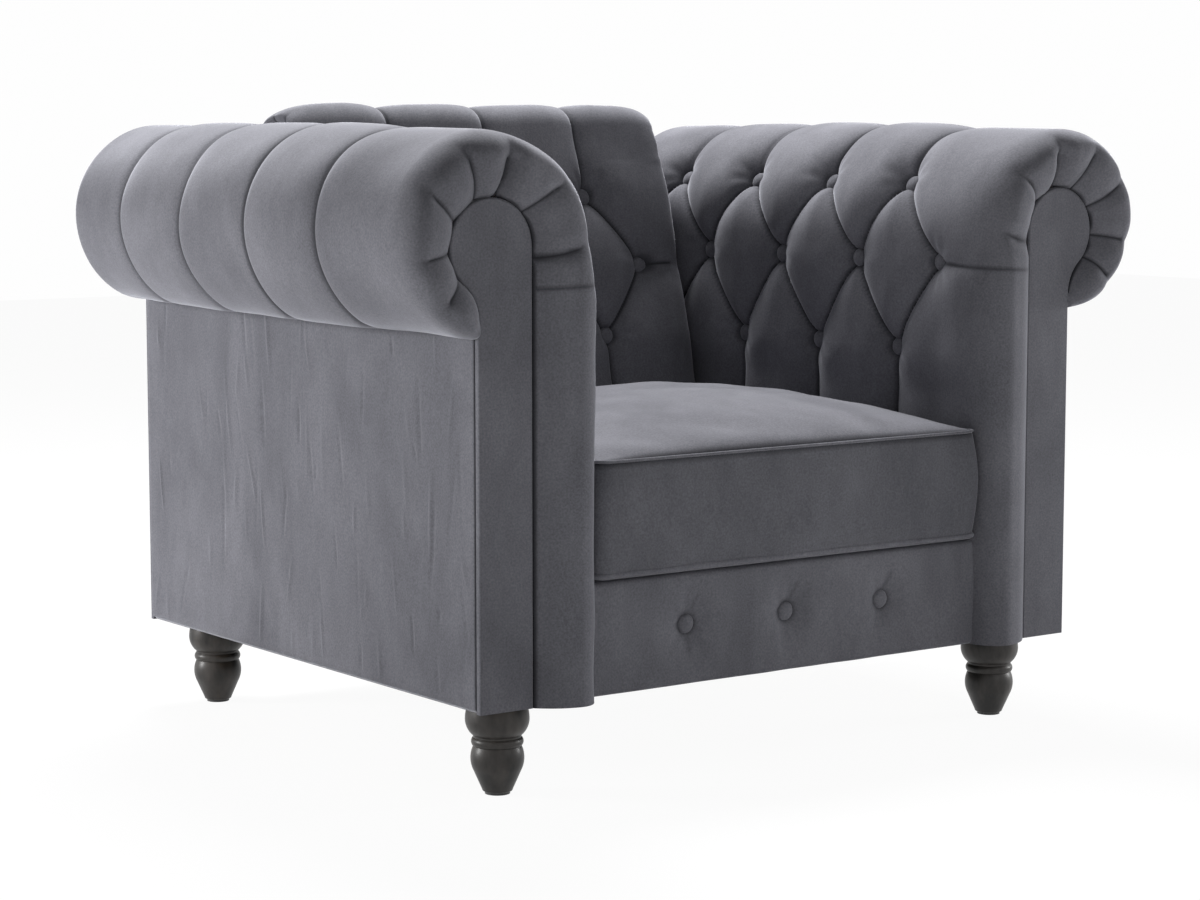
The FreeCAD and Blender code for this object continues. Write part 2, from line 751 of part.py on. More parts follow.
def spring(x):
    """Zigzag of straight bars joined by half turns, laid flat from rail to rail."""
    bars = int((spring_rear - spring_front) / spring_loop)
    step = (spring_rear - spring_front) / bars
    pieces = []
    for k in range(bars + 1):
        y = spring_front + step * k
        left, right = V(x - spring_half_bar, y, spring_z), V(x + spring_half_bar, y, spring_z)
        pieces.append(rod(spring_wire / 2, left, right))
        if k < bars:
            way = 1 if k % 2 == 0 else -1
            end = right if way > 0 else left
            ring = Part.Face(Part.Wire(Part.Circle(end, V(1, 0, 0), spring_wire / 2).toShape()))
            pieces.append(ring.revolve(end + V(0, step / 2, 0), V(0, 0, way), 180))
    return pieces[0].fuse(pieces[1:])


def spring_clip(x, y, way):
    """Bent sheet that holds the end bar of a spring down on a rail; its tail points inwards."""
    middle = V(x - clip_width / 2, y, spring_z)
    ends = [(0, -1), (-way, 0), (0, 1)]
    outer = [middle + V(0, a, b) * (hook_radius + clip_sheet) for a, b in ends]
    inner = [middle + V(0, a, b) * hook_radius for a, b in ends]
    tail = V(0, way * clip_tail, 0)
    edges = [
        segment(outer[0] + tail, outer[0]),
        arc(*outer),
        segment(outer[2], inner[2]),
        arc(*inner[::-1]),
        segment(inner[0], inner[0] + tail),
        segment(inner[0] + tail, outer[0] + tail),
    ]
    return extruded(edges, V(clip_width, 0, 0))


def build_seat():
    front_rear = front_rail_y + rail_section
    front = box(-frame_x, frame_x, front_rail_y, front_rear, rail_bottom, seat_rail_top)
    rear = box(-frame_x, frame_x, rear_rail_y, rear_rail_y + rail_section, rail_bottom, seat_rail_top)
    for x in back_bolt_xs:
        hole = rod(
            bolt_radius + bolt_clearance,
            V(x, rear_rail_y - 1, bolt_height),
            V(x, rear_rail_y + rail_section + 1, bolt_height),
        )
        rear = rear.cut(hole)
    side = box(side_rail_x, frame_x, front_rear, rear_rail_y, rail_bottom, seat_rail_top)
    for y in arm_bolt_ys:
        side = side.cut(
            rod(
                bolt_radius + bolt_clearance,
                V(side_rail_x - 1, y, bolt_height),
                V(frame_x + 1, y, bolt_height),
            )
        )
    blocks = []
    block_z = seat_rail_top - corner_block_height - corner_block_drop
    for y, way in ((front_rear, 1), (rear_rail_y, -1)):
        points = [
            V(side_rail_x, y, block_z),
            V(side_rail_x - corner_block_leg, y, block_z),
            V(side_rail_x, y + way * corner_block_leg, block_z),
        ]
        loop = [segment(a, b) for a, b in zip(points, points[1:] + points[:1])]
        block = extruded(loop, V(0, 0, corner_block_height))
        blocks += [block, mirrored(block)]
    xs = [(k - (spring_count - 1) / 2) * spring_pitch for k in range(spring_count)]
    clips = [spring_clip(x, spring_front, 1) for x in xs] + [spring_clip(x, spring_rear, -1) for x in xs]
    deck = box(
        -inside_x + clearance,
        inside_x - clearance,
        front_rail_y,
        lean_y(pad_bottom) - wrap_clearance,
        pad_bottom,
        deck_height - clearance,
    )
    dust = box(
        -frame_x, frame_x, front_rail_y, back_panel_y - panel_thickness, foot_height, rail_bottom
    )
    cover_y = facing_y + rail_cover_setback
    cover = box(
        -inside_x + clearance,
        inside_x - clearance,
        cover_y,
        front_rail_y - clearance,
        foot_height,
        deck_height - clearance,
    )
    front_edges = [e for e in cover.Edges if e.BoundBox.YMax < cover_y + 0.01]
    cover = cover.makeFillet(rail_cover_radius, front_edges)
    ball = (rail_dimple_radius**2 + rail_dimple_depth**2) / (2 * rail_dimple_depth)
    buttons = []
    for k in (-1, 0, 1):
        centre = V(k * rail_button_pitch, cover_y + rail_dimple_depth - ball, rail_button_height)
        cover = cover.cut(Part.makeSphere(ball, centre))
        rest = math.sqrt(ball**2 - button_radius**2) - clearance
        buttons.append(covered_button(centre + V(0, rest, 0), V(0, -1, 0)))
    save("seat_front_rail", front)
    save("seat_rear_rail", rear)
    save("seat_side_rails", side, mirrored(side))
    save("seat_corner_blocks", *blocks)
    save("seat_springs", *[spring(x) for x in xs])
    save("seat_spring_clips", *clips)
    save("seat_deck", deck)
    save("dust_cover", dust)
    save("front_rail_cover", cover)
    save("front_rail_buttons", *buttons)
    print("seat frame", round(2 * frame_x, 1), "wide, springs", round(spring_rear - spring_front, 1), "long")


def cushion_form(inset):
    """Boxed cushion: bulged sides, a crown that falls away to the seams, drawn in by the inset."""
    half = inside_x - cushion_side_gap - cushion_bulge - inset
    front = facing_y - cushion_overhang + cushion_bulge + inset
    rear = seat_line_y - cushion_rear_gap - cushion_bulge - inset
    low = deck_height + inset
    seam = deck_height + cushion_edge_height - inset
    middle_y, middle_z = (front + rear) / 2, (low + seam) / 2

    def loop(x, crown, pull, bulge):
        a, b = V(x, front + pull, low + pull), V(x, rear - pull, low + pull)
        c, d = V(x, rear - pull, seam - pull), V(x, front + pull, seam - pull)
        return [
            segment(a, b),
            arc(b, V(x, rear + bulge, middle_z), c),
            arc(c, V(x, middle_y, seam + crown), d),
            arc(d, V(x, front - bulge, middle_z), a),
        ]

    steps = 14
    inner = [half * (2 * k / steps - 1) for k in range(steps + 1)]
    sections = []
    for x in inner:
        fall = (1 - (x / half) ** 2) ** 0.6
        bulge = 2 + (cushion_bulge - 2) * min(1, 4 * fall)
        sections.append(loop(x, share(cushion_shoulder, cushion_crown, fall), 0, bulge))
    left, right = [], []
    for t, pull in ((0.55, 12), (0.9, 30), (1.0, 48)):
        shape = cushion_shoulder - pull, pull, 1 - 0.8 * pull
        left.append(loop(-half - cushion_bulge * t, *shape))
        right.append(loop(half + cushion_bulge * t, *shape))
    return skinned(left[::-1] + sections + right)


def build_cushion():
    cover = cushion_form(0).cut(cushion_form(cover_thickness))
    core = cushion_form(cover_thickness + clearance)
    save("cushion_cover", cover)
    save("cushion_core", core)
    print("cushion", round(cover.BoundBox.XLength, 1), "by", round(cover.BoundBox.YLength, 1))


def foot(x, y):
    """Turned foot: tapered vase, a bead in the waist and a full bulb under the body."""
    vase_r, bulb_r, sole_r = foot_vase_radius, foot_bulb_radius, foot_sole_radius
    waist_r, bead_r, hip_r, neck_r = 0.897 * vase_r, 0.975 * vase_r, 0.89 * vase_r, 0.87 * bulb_r

    def at(r, t):
        return V(x + r, y, share(glide_thickness, foot_height, t))

    edges = [
        segment(at(0, 0), at(0.89 * sole_r, 0)),
        arc(at(0.89 * sole_r, 0), at(0.97 * sole_r, 0.006), at(1.017 * sole_r, 0.022)),
        segment(at(1.017 * sole_r, 0.022), at(hip_r, 0.232)),
        arc(at(hip_r, 0.232), at(vase_r, 0.357), at(waist_r, 0.5)),
        arc(at(waist_r, 0.5), at(bead_r, 0.549), at(waist_r, 0.598)),
        segment(at(waist_r, 0.598), at(waist_r, 0.616)),
        arc(at(waist_r, 0.616), at(0.92 * bulb_r, 0.688), at(bulb_r, 0.795)),
        arc(at(bulb_r, 0.795), at(0.98 * bulb_r, 0.875), at(neck_r, 1)),
        segment(at(neck_r, 1), at(0, 1)),
        segment(at(0, 1), at(0, 0)),
    ]
    solid = Part.Face(Part.Wire(edges)).revolve(V(x, y, 0), V(0, 0, 1), 360)
    hole = rod(
        bolt_radius + bolt_clearance, V(x, y, foot_height - hanger_in_foot), V(x, y, foot_height + 1)
    )
    return solid.cut(hole)


def hex_bolt(head_end, tip):
    """Bolt with its head behind the first point and its shank running to the tip."""
    axis = (tip - head_end).normalize()
    radius = head_across_flats / math.sqrt(3)
    spots = [V(radius * math.cos(k * math.pi / 3), radius * math.sin(k * math.pi / 3), 0) for k in range(6)]
    hexagon = Part.Face(Part.Wire([segment(a, b) for a, b in zip(spots, spots[1:] + spots[:1])]))
    head_solid = hexagon.extrude(V(0, 0, head_height))
    head_solid.Placement = FreeCAD.Placement(head_end, FreeCAD.Rotation(V(0, 0, 1), axis * -1))
    return head_solid.fuse(rod(bolt_radius, head_end, tip))


def ring_plate(solid, start, end):
    return solid.cut(rod(bolt_radius + bolt_clearance, start, end))


def build_feet():
    left, right = -foot_x, foot_x
    front, rear = foot_ys
    places = {
        "front_left": (left, front),
        "front_right": (right, front),
        "rear_left": (left, rear),
        "rear_right": (right, rear),
    }
    bolts, plates, glides = [], [], []
    for name, (x, y) in places.items():
        save(name + "_foot", foot(x, y))
        base = foot_height - hanger_in_foot + clearance
        bolts.append(rod(bolt_radius, V(x, y, base), V(x, y, base + hanger_length)))
        half = plate_side / 2
        plate = box(x - half, x + half, y - half, y + half, foot_height, plate_top)
        plates.append(ring_plate(plate, V(x, y, 0), V(x, y, deck_height)))
        glides.append(rod(glide_radius, V(x, y, 0), V(x, y, glide_thickness)))
    save("foot_hanger_bolts", *bolts)
    save("foot_plates", *plates)
    save("foot_glides", *glides)
    print("feet at", {n: (round(x, 1), round(y, 1)) for n, (x, y) in places.items()})


def build_fasteners():
    bolts, washers, nuts = [], [], []
    spots = []
    for side in (-1, 1):
        for y in arm_bolt_ys:
            face = V(side * side_rail_x, y, bolt_height)
            spots.append((face, V(side, 0, 0), side_rail_thickness + board_thickness))
    for x in back_bolt_xs:
        spots.append((V(x, rear_rail_y, bolt_height), V(0, 1, 0), 2 * rail_section))
    for face, way, grip in spots:
        head_end = face - way * washer_thickness
        nut_start = face + way * grip
        nut_end = nut_start + way * nut_plate_thickness
        bolts.append(hex_bolt(head_end, nut_end))
        washers.append(ring_plate(rod(washer_radius, head_end, face), head_end - way, face + way))
        half = nut_plate_side / 2
        across = V(abs(way.y), abs(way.x), 0)
        low = nut_start - across * half - V(0, 0, half)
        high = nut_end + across * half + V(0, 0, half)
        block = box(
            min(low.x, high.x), max(low.x, high.x), min(low.y, high.y), max(low.y, high.y), low.z, high.z
        )
        nuts.append(ring_plate(block, nut_start - way, nut_end + way))
    save("frame_bolts", *bolts)
    save("frame_washers", *washers)
    save("frame_nut_plates", *nuts)
    print("frame bolts", len(bolts))


os.makedirs("parts", exist_ok=True)
build_arms()
build_back()
build_seat()
build_cushion()
build_feet()
build_fasteners()
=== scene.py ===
import math
import bmesh
import bpy
import numpy as np
from mathutils import Matrix, Vector


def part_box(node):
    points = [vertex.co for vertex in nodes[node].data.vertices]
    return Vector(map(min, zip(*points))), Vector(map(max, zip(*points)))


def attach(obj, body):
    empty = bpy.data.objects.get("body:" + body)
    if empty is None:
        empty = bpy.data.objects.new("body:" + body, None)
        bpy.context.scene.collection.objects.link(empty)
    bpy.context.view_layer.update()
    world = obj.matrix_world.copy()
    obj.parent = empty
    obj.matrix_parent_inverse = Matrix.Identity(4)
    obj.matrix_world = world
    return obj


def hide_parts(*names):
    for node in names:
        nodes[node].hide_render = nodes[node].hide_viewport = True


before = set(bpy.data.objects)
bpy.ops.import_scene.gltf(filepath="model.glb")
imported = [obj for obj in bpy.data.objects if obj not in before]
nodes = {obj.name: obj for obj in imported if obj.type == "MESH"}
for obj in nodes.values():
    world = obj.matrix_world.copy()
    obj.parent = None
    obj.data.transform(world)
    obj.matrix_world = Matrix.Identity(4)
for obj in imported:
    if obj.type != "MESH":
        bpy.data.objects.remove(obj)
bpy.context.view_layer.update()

# places taken from the frame, in metres
facingLow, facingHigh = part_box("right_arm_front_facing")
padLow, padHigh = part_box("right_arm_pad")
panelLow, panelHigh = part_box("right_arm_outside_panel")
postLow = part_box("right_arm_front_post")[0]
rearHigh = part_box("right_arm_rear_facing")[1]
railLow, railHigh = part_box("front_rail_cover")
backLow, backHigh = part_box("back_pad")
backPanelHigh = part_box("back_outside_panel")[1]
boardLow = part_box("back_board")[0]
coverLow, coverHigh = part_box("cushion_cover")
deckLow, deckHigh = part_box("seat_deck")


def socket(node, name, value):
    node.inputs[name].default_value = value


def join(tree, output, node, name):
    tree.links.new(output, node.inputs[name])


def newMaterial(name):
    mat = bpy.data.materials.new(name)
    mat.use_nodes = True
    tree = mat.node_tree
    return mat, tree, tree.nodes["Principled BSDF"]


def ramp(tree, factor, places, colours):
    made = tree.nodes.new("ShaderNodeValToRGB")
    for stop, place, colour in zip(made.color_ramp.elements, places, colours):
        stop.position, stop.color = place, (*colour, 1)
    join(tree, factor, made, "Fac")
    return made.outputs["Color"]


def blend(tree, kind, factor, a, b):
    made = tree.nodes.new("ShaderNodeMix")
    made.data_type, made.blend_type = "RGBA", kind
    for index, value in ((0, factor), (6, a), (7, b)):  # the factor and the two colours
        if isinstance(value, bpy.types.NodeSocket):
            join(tree, value, made, index)
        else:
            socket(made, index, value)
    return made.outputs[2]


def noiseAt(tree, vector, size, detail, distort=0.0):
    made = tree.nodes.new("ShaderNodeTexNoise")
    socket(made, "Scale", size)
    socket(made, "Detail", detail)
    socket(made, "Distortion", distort)
    join(tree, vector, made, "Vector")
    return made.outputs["Fac"]


def stretched(tree, vector, scale):
    made = tree.nodes.new("ShaderNodeMapping")
    socket(made, "Scale", scale)
    join(tree, vector, made, "Vector")
    return made.outputs["Vector"]


def bumpOn(tree, skin, height, strength, depth):
    made = tree.nodes.new("ShaderNodeBump")
    socket(made, "Strength", strength)
    socket(made, "Distance", depth)
    join(tree, height, made, "Height")
    join(tree, made.outputs["Normal"], skin, "Normal")


# nap, fleck and stroke are noises: size, detail, distortion
velvet = dict(
    # crease is a painted shade colour, mixed into the pile along pleats, seams and round buttons
    pile=(0.122, 0.122, 0.138), brushed=(0.168, 0.168, 0.188), crease=(0.022, 0.022, 0.026),
    nap=(6.0, 5.0, 0.8), napStretch=(1, 1, 0.6), napRange=(0.34, 0.70),
    fleck=(420.0, 2.0), fleckRange=(0.25, 0.75), fleckShade=(0.5, 1.5), fleckMix=0.40,
    stroke=(40.0, 4.0, 0.5), strokeStretch=(1, 1, 0.4), strokeRange=(0.30, 0.70), strokeShade=(0.94, 1.06),
    fuzz=0.30, fuzzDepth=0.0006, rough=0.92, shine=0.10,
    sheen=0.50, sheenRough=0.34, sheenTint=(0.84, 0.85, 0.93),
)


def greys(levels):
    return [(level, level, level) for level in levels]


def velvetMaterial(name):
    mat, tree, skin = newMaterial(name)
    place = tree.nodes.new("ShaderNodeTexCoord").outputs["Object"]
    nap = noiseAt(tree, stretched(tree, place, velvet["napStretch"]), *velvet["nap"])
    colour = ramp(tree, nap, velvet["napRange"], (velvet["pile"], velvet["brushed"]))  # pile laid both ways
    speck = noiseAt(tree, place, *velvet["fleck"])
    fleck = ramp(tree, speck, velvet["fleckRange"], greys(velvet["fleckShade"]))
    colour = blend(tree, "MULTIPLY", velvet["fleckMix"], colour, fleck)
    stroke = noiseAt(tree, stretched(tree, place, velvet["strokeStretch"]), *velvet["stroke"])
    mark = ramp(tree, stroke, velvet["strokeRange"], greys(velvet["strokeShade"]))
    colour = blend(tree, "MULTIPLY", 1.0, colour, mark)  # brush strokes in the pile
    # painted shade: a per-point attribute darkens the pile towards the crease colour where folds, seams and
    # buttons lie in shade
    foldShade = tree.nodes.new("ShaderNodeAttribute")
    foldShade.attribute_name = "foldShade"
    colour = blend(tree, "MIX", foldShade.outputs["Fac"], colour, (*velvet["crease"], 1))
    join(tree, colour, skin, "Base Color")
    bumpOn(tree, skin, speck, velvet["fuzz"], velvet["fuzzDepth"])
    socket(skin, "Roughness", velvet["rough"])
    socket(skin, "Specular IOR Level", velvet["shine"])
    socket(skin, "Sheen Weight", velvet["sheen"])
    socket(skin, "Sheen Roughness", velvet["sheenRough"])
    socket(skin, "Sheen Tint", (*velvet["sheenTint"], 1))
    return mat


grained = dict(detail=5.0, shadeRange=(0.35, 0.75), bumpDepth=0.001, coatRough=0.25)


def grainMaterial(
        name, dark, light, rough, size, stretch=(1, 1, 1), coat=0.0, bump=0.05, metal=0.0, shine=0.5):
    mat, tree, skin = newMaterial(name)
    place = tree.nodes.new("ShaderNodeTexCoord").outputs["Object"]
    grain = noiseAt(tree, stretched(tree, place, stretch), size, grained["detail"])
    join(tree, ramp(tree, grain, grained["shadeRange"], (dark, light)), skin, "Base Color")
    bumpOn(tree, skin, grain, bump, grained["bumpDepth"])
    socket(skin, "Roughness", rough)
    socket(skin, "Metallic", metal)
    socket(skin, "Specular IOR Level", shine)
    socket(skin, "Coat Weight", coat)
    socket(skin, "Coat Roughness", grained["coatRough"])
    return mat


finishes = {
    "velvet": velvetMaterial("greyVelvet"),
    "dark_wood": grainMaterial(
        "blackenedWood", (0.006, 0.0056, 0.0052), (0.066, 0.059, 0.054), 0.44, 46.0,
        stretch=(1, 1, 0.45), coat=0.10, shine=0.30),
    "frame_wood": grainMaterial(
        "sawnBeech", (0.34, 0.22, 0.12), (0.47, 0.33, 0.20), 0.65, 40.0, stretch=(1, 0.1, 1)),
    "paper_tube": grainMaterial("paperTube", (0.36, 0.27, 0.18), (0.44, 0.34, 0.23), 0.85, 60.0),
    "foam": grainMaterial("seatFoam", (0.70, 0.66, 0.52), (0.78, 0.74, 0.60), 0.95, 90.0),
    "deck_cloth": grainMaterial("deckCloth", (0.07, 0.07, 0.08), (0.10, 0.10, 0.11), 0.95, 220.0),
    "dust_cloth": grainMaterial("dustCloth", (0.02, 0.02, 0.022), (0.035, 0.035, 0.038), 0.95, 260.0),
    "zinc_steel": grainMaterial(
        "zincSteel", (0.52, 0.52, 0.53), (0.62, 0.62, 0.63), 0.35, 80.0, bump=0.02, metal=1.0),
    "glide_plastic": grainMaterial("glidePlastic", (0.03, 0.03, 0.03), (0.05, 0.05, 0.05), 0.5, 50.0),
}
print("materials ready")


def paint(obj, finish):
    obj.data.materials.clear()
    obj.data.materials.append(finishes[finish])


def dress(obj, finish, body, *replaced):
    paint(obj, finish)
    for poly in obj.data.polygons:
        poly.use_smooth = True
    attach(obj, body)
    if replaced:
        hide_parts(*replaced)
    return obj


def newObject(name, data):
    obj = bpy.data.objects.new(name, data)
    bpy.context.scene.collection.objects.link(obj)
    return obj


def fromBmesh(name, bm):
    mesh = bpy.data.meshes.new(name)
    bm.to_mesh(mesh)
    bm.free()
    return newObject(name, mesh)


def readPoints(obj):
    flat = np.empty(len(obj.data.vertices) * 3)
    obj.data.vertices.foreach_get("co", flat)
    return flat.reshape(-1, 3)


def setPoints(obj, points):
    obj.data.vertices.foreach_set("co", np.ascontiguousarray(points, dtype=float).ravel())
    obj.data.update()


def markPaintedShade(obj, foldShade):
    # stores the painted shade, 0 to 1, that the velvet mixes towards its crease colour
    layer = obj.data.attributes.new("foldShade", "FLOAT", "POINT")
    layer.data.foreach_set("value", np.clip(foldShade, 0, 1).astype(np.float32))


def clothGrid(name, across, along):
    bm = bmesh.new()
    bmesh.ops.create_grid(bm, x_segments=across, y_segments=along, size=0.5)
    obj = fromBmesh(name, bm)
    flat = readPoints(obj)
    return obj, flat[:, 0] + 0.5, flat[:, 1] + 0.5


def layPoints(obj, points, outward, foldShade):
    setPoints(obj, points)
    normals = np.empty(len(obj.data.vertices) * 3)
    obj.data.vertex_normals.foreach_get("vector", normals)
    if np.sum(normals.reshape(-1, 3) * outward) < 0:
        obj.data.flip_normals()
    markPaintedShade(obj, foldShade)


def dropFaces(obj, unwanted):
    bm = bmesh.new()
    bm.from_mesh(obj.data)
    gone = [f for f in bm.faces if unwanted(f.calc_center_median())]
    bmesh.ops.delete(bm, geom=gone, context="FACES")
    bm.to_mesh(obj.data)
    bm.free()


def ripple(a, s, seed, size, count=12, spread=(0.6, 1.6)):
    rng = np.random.default_rng(seed)
    total = np.zeros_like(a)
    for _ in range(count):
        turn = rng.uniform(0, 2 * math.pi)
        wave = 2 * math.pi / size * rng.uniform(*spread)
        total += np.sin(wave * (a * math.cos(turn) + s * math.sin(turn)) + rng.uniform(0, 2 * math.pi))
    return total / math.sqrt(count)


def smooth(t):
    t = np.clip(t, 0, 1)
    return t * t * (3 - 2 * t)


def fade(value, start, span):
    return smooth((value - start) / span)


# a pleat is a line from a0, s0 to a1, s1 over the flat cover, its swell at both ends and its stitching,
# which sets its crease and the painted shade along it
tufting = dict(
    diamond=(1.0, 1.0, 1.0), crease=0.0026, creaseWidth=0.0045, swell=0.0258, swellWidth=0.060,
    roundness=0.66, most=0.0310, saddle=0.38, soft=0.0004, line=0.0022, wane=5, steep=0.3,
    pit=0.0020, pitReach=0.019, pitSteep=1.6, shadow=0.75, shadowReach=0.0142, shadowSteep=6,
    gather=0.0007, gatherAt=0.028, gatherWidth=0.014, gathers=9, gatherShift=90,  # folds round a button
    lift=0.006, liftFrom=0.43, liftSoft=0.06,
)


def valley(away, width):
    return np.clip(1 - away / width, 0, 1) ** 2


def pillow(away, width):
    # full, round shoulders that fall steeply into the pleat
    return 1 - (1 - valley(away, width)) ** tufting["roundness"]


# painted shade: a narrow dark line along a pleat or ray, tufting["line"] wide
def shadeLine(away):
    return np.exp(-((away / tufting["line"]) ** 2))


def snapToPleats(a, s, pleats, stepA, stepS):
    # slides the nearest points onto each pleat, so that its line runs along the mesh
    a, s = a.copy(), s.copy()
    for a0, s0, a1, s1, *_ in pleats:
        if abs(s1 - s0) > tufting["steep"] * abs(a1 - a0):
            along = (s - s0) / (s1 - s0)
            gap = a - a0 - (a1 - a0) * along
            hit = (along >= 0) & (along <= 1) & (np.abs(gap) <= stepA / 2)
            a[hit] -= gap[hit]
        else:
            along = (a - a0) / (a1 - a0)
            gap = s - s0 - (s1 - s0) * along
            hit = (along >= 0) & (along <= 1) & (np.abs(gap) <= stepS / 2)
            s[hit] -= gap[hit]
    return a, s


def tuftDepth(a, s, buttons, pleats):
    depth = np.zeros_like(a)
    foldShade = np.zeros_like(a)
    for a0, s0, a1, s1, swellA, swellB, stitchAndShade in pleats:
        da, ds = a1 - a0, s1 - s0
        along = np.clip(((a - a0) * da + (s - s0) * ds) / (da * da + ds * ds), 0, 1)
        offA, offS = a - a0 - along * da, s - s0 - along * ds
        away = np.sqrt(offA**2 + offS**2 + tufting["soft"] ** 2) - tufting["soft"]
        wane = along if swellB > 0.5 * swellA else 1 - (1 - along) ** tufting["wane"]
        power = swellA + (swellB - swellA) * wane
        if swellA == swellB:  # between two buttons the pleat rises
            power = power - tufting["saddle"] * 4 * along * (1 - along)
        made = stitchAndShade * tufting["crease"] * np.exp(-away / tufting["creaseWidth"])
        made += power * tufting["swell"] * pillow(away, tufting["swellWidth"])
        depth += made**3
        # painted shade: a dark line along the stitched pleat
        foldShade = np.maximum(foldShade, stitchAndShade * shadeLine(away))
    depth = np.minimum(np.cbrt(depth), tufting["most"])  # neighbouring pleats run into each other softly
    for ab, sb in buttons:
        off = np.hypot(a - ab, s - sb)
        phase = np.arctan2(s - sb, a - ab)
        depth += tufting["pit"] * np.exp(-((off / tufting["pitReach"]) ** tufting["pitSteep"]))
        ring = np.exp(-(((off - tufting["gatherAt"]) / tufting["gatherWidth"]) ** 2))
        depth += tufting["gather"] * ring * np.sin(phase * tufting["gathers"] + ab * tufting["gatherShift"])
        shadow = np.exp(-((off / tufting["shadowReach"]) ** tufting["shadowSteep"]))
        foldShade = np.maximum(foldShade, tufting["shadow"] * shadow)
    return depth, foldShade


def buttonedPleats(evens, odds, rows, foot, end, over, under):
    # diamonds between the rows, pleats over the roll and down to the deck
    low, mid, top = rows
    lines = []
    for k, even in enumerate(evens):
        for odd in odds[k:k + 2]:
            lines.append((even, low, odd, mid, *tufting["diamond"]))
            lines.append((odd, mid, even, top, *tufting["diamond"]))
        lines.append((even, top, even, end, *over))
        lines.append((even, low, even, deckHigh.z - foot, *under))
    return lines


# the drawn-in end of a cover, over t from 0 at its start to 1 behind the facing
nose = dict(
    crest=0.45, slope=0.5, hem=0.95, hemRun=0.05, tuck=0.008, leastRun=0.004,
    # the last pair fades in painted shade where the cover tucks in behind the facing
    headFrom=0.9, raysFrom=0.15, edgeShade=(0.9, 0.05),
)


def noseCurve(t, run, start, tip, edge, peak):
    # start, tip and edge are places along the piece; gives depth, place and outward normal
    rise = np.clip(t / nose["crest"], 0, 1) * math.pi / 2
    slope = np.clip((t - nose["crest"]) / nose["slope"], 0, 1)  # from the crest it slopes in to the facing
    tuck = np.clip((t - nose["hem"]) / nose["hemRun"], 0, 1)
    early = t <= nose["crest"]
    outer, inner = peak * run, (1 - peak) * run
    depth = np.where(early, outer * (1 - np.cos(rise)), outer + inner * slope)
    place = np.where(early, start + (tip - start) * np.sin(rise), tip + (edge - tip) * slope**2)
    place = place + tuck * nose["tuck"] * np.sign(start - tip)
    ahead, behind = np.maximum(np.abs(tip - start), 1e-4), np.maximum(np.abs(edge - tip), 1e-4)
    inward = np.where(early, -np.cos(rise) / outer, 2 * slope / inner)
    forward = np.where(early, np.sin(rise) / ahead, 1 / behind)
    size = np.hypot(inward, forward)
    return depth, place, inward / size, forward / size * np.sign(tip - start)


def rayRows(piece, line, angles):
    # the row of each ray pleat, its bend and how much deeper it is drawn
    keep = angles < math.pi - 1e-6
    swing, first = piece["raySway"]
    rows = []
    for k, degrees in enumerate(piece["rayPleats"]):
        row = float(np.interp(-math.radians(degrees), -angles[keep], line[keep]))
        rows.append((row, piece["rayBend"] * math.sin(swing * k + first), piece["deepRays"].get(k, 1.0)))
    return rows


def gatherRays(s, t, onNose, rays, piece, step):
    # slides points onto each ray pleat; gives the rows, the depth share and the line of painted shade
    s = s.copy()
    ray, line = np.zeros_like(s), np.zeros_like(s)
    for row, bend, deeper in rays:
        gap = s - row - bend * (1 - t) ** 2
        hit = onNose & (t > nose["raysFrom"]) & (np.abs(gap) <= step / 2)
        s[hit] -= gap[hit]
        away = np.abs(np.where(hit, 0, gap)) * (1 - piece["rayNarrow"] * t)
        ray = np.maximum(ray, valley(away, piece["rayWidth"]) * deeper)
        line = np.maximum(line, shadeLine(away))
    return s, ray, line


# the pairs in the last lines are fades: where each starts and over how far
arm = dict(
    columnWidth=0.0795, rollRadius=0.1145, wrap=0.0014, waistGap=0.002, noseLength=0.038, nosePeak=0.38,
    noseProud=0.008, noseUnroll=0.11, rearRound=0.008, rearLength=0.018, rearStrip=0.085, railGap=0.004,
    deckGap=0.01, pitch=0.163, firstButton=0.100, lowerRow=0.489, middleRow=0.605, upperRow=0.716,
    across=262, along=262, noseShare=0.17, rearShare=0.035, hemShare=0.015, hemTuck=(0.009, 0.012, 0.016),
    overPleat=(1.0, 0.10, 0.9), underPleat=(0.9, 0.5, 0.9), seamPleat=(0.9, 0.08, 0.65),
    rayPleats=(-39, -7, 31, 68, 100, 138), rayDepth=0.0105, rayWidth=0.026, rayNarrow=0.5, rayShade=0.95,
    rayBend=0.014, raySway=(2.1, 0.6), deepRays={4: 2.0}, seamRay=(0.638, 0.022),
    raySamples=3000, dimple=0.0010, dimpleSize=0.16, rollRise=0.0085, riseLess=0.45, rollSag=0.007,
    seamDrop=0.008, seamWidth=0.05, columnSwell=0.006, calmShare=0.75,
    noseThin=(0, 0.055), noseCalm=(-0.03, 0.06), liftEnd=(0.02, 0.12), rayGrow=(0.10, 0.45),
    rayDark=(0.22, 0.25), swellOut=(0.15, 0.45), riseIn=(0, 0.35), riseOut=(0.7, 0.3),
    riseTop=(0, 0.10), riseHem=(0, 0.05), columnIn=(-0.08, 0.07), columnTop=(-0.02, 0.08),
    sagHem=(-0.13, 0.11), sagOut=(0.2, 0.6),
)
armInX = facingLow.x - arm["columnWidth"]
armHeadR = (facingHigh.x - facingLow.x) / 2
armHead = (facingLow.x + armHeadR, facingHigh.z - armHeadR)
armRoll = (padHigh.x - arm["rollRadius"], padHigh.z - arm["rollRadius"])
armInnerR = armRoll[0] - armInX
armInnerZ = padHigh.z - armInnerR
armFoot = facingLow.z
armStraight = armInnerZ - armFoot
armInner = armInnerR * math.pi / 2
armEnd = -math.acos((panelHigh.x - armRoll[0]) / arm["rollRadius"])
armRun = armStraight + armInner + arm["rollRadius"] * (math.pi / 2 - armEnd)
armFrameR = armHead[0] - postLow.x + arm["wrap"]
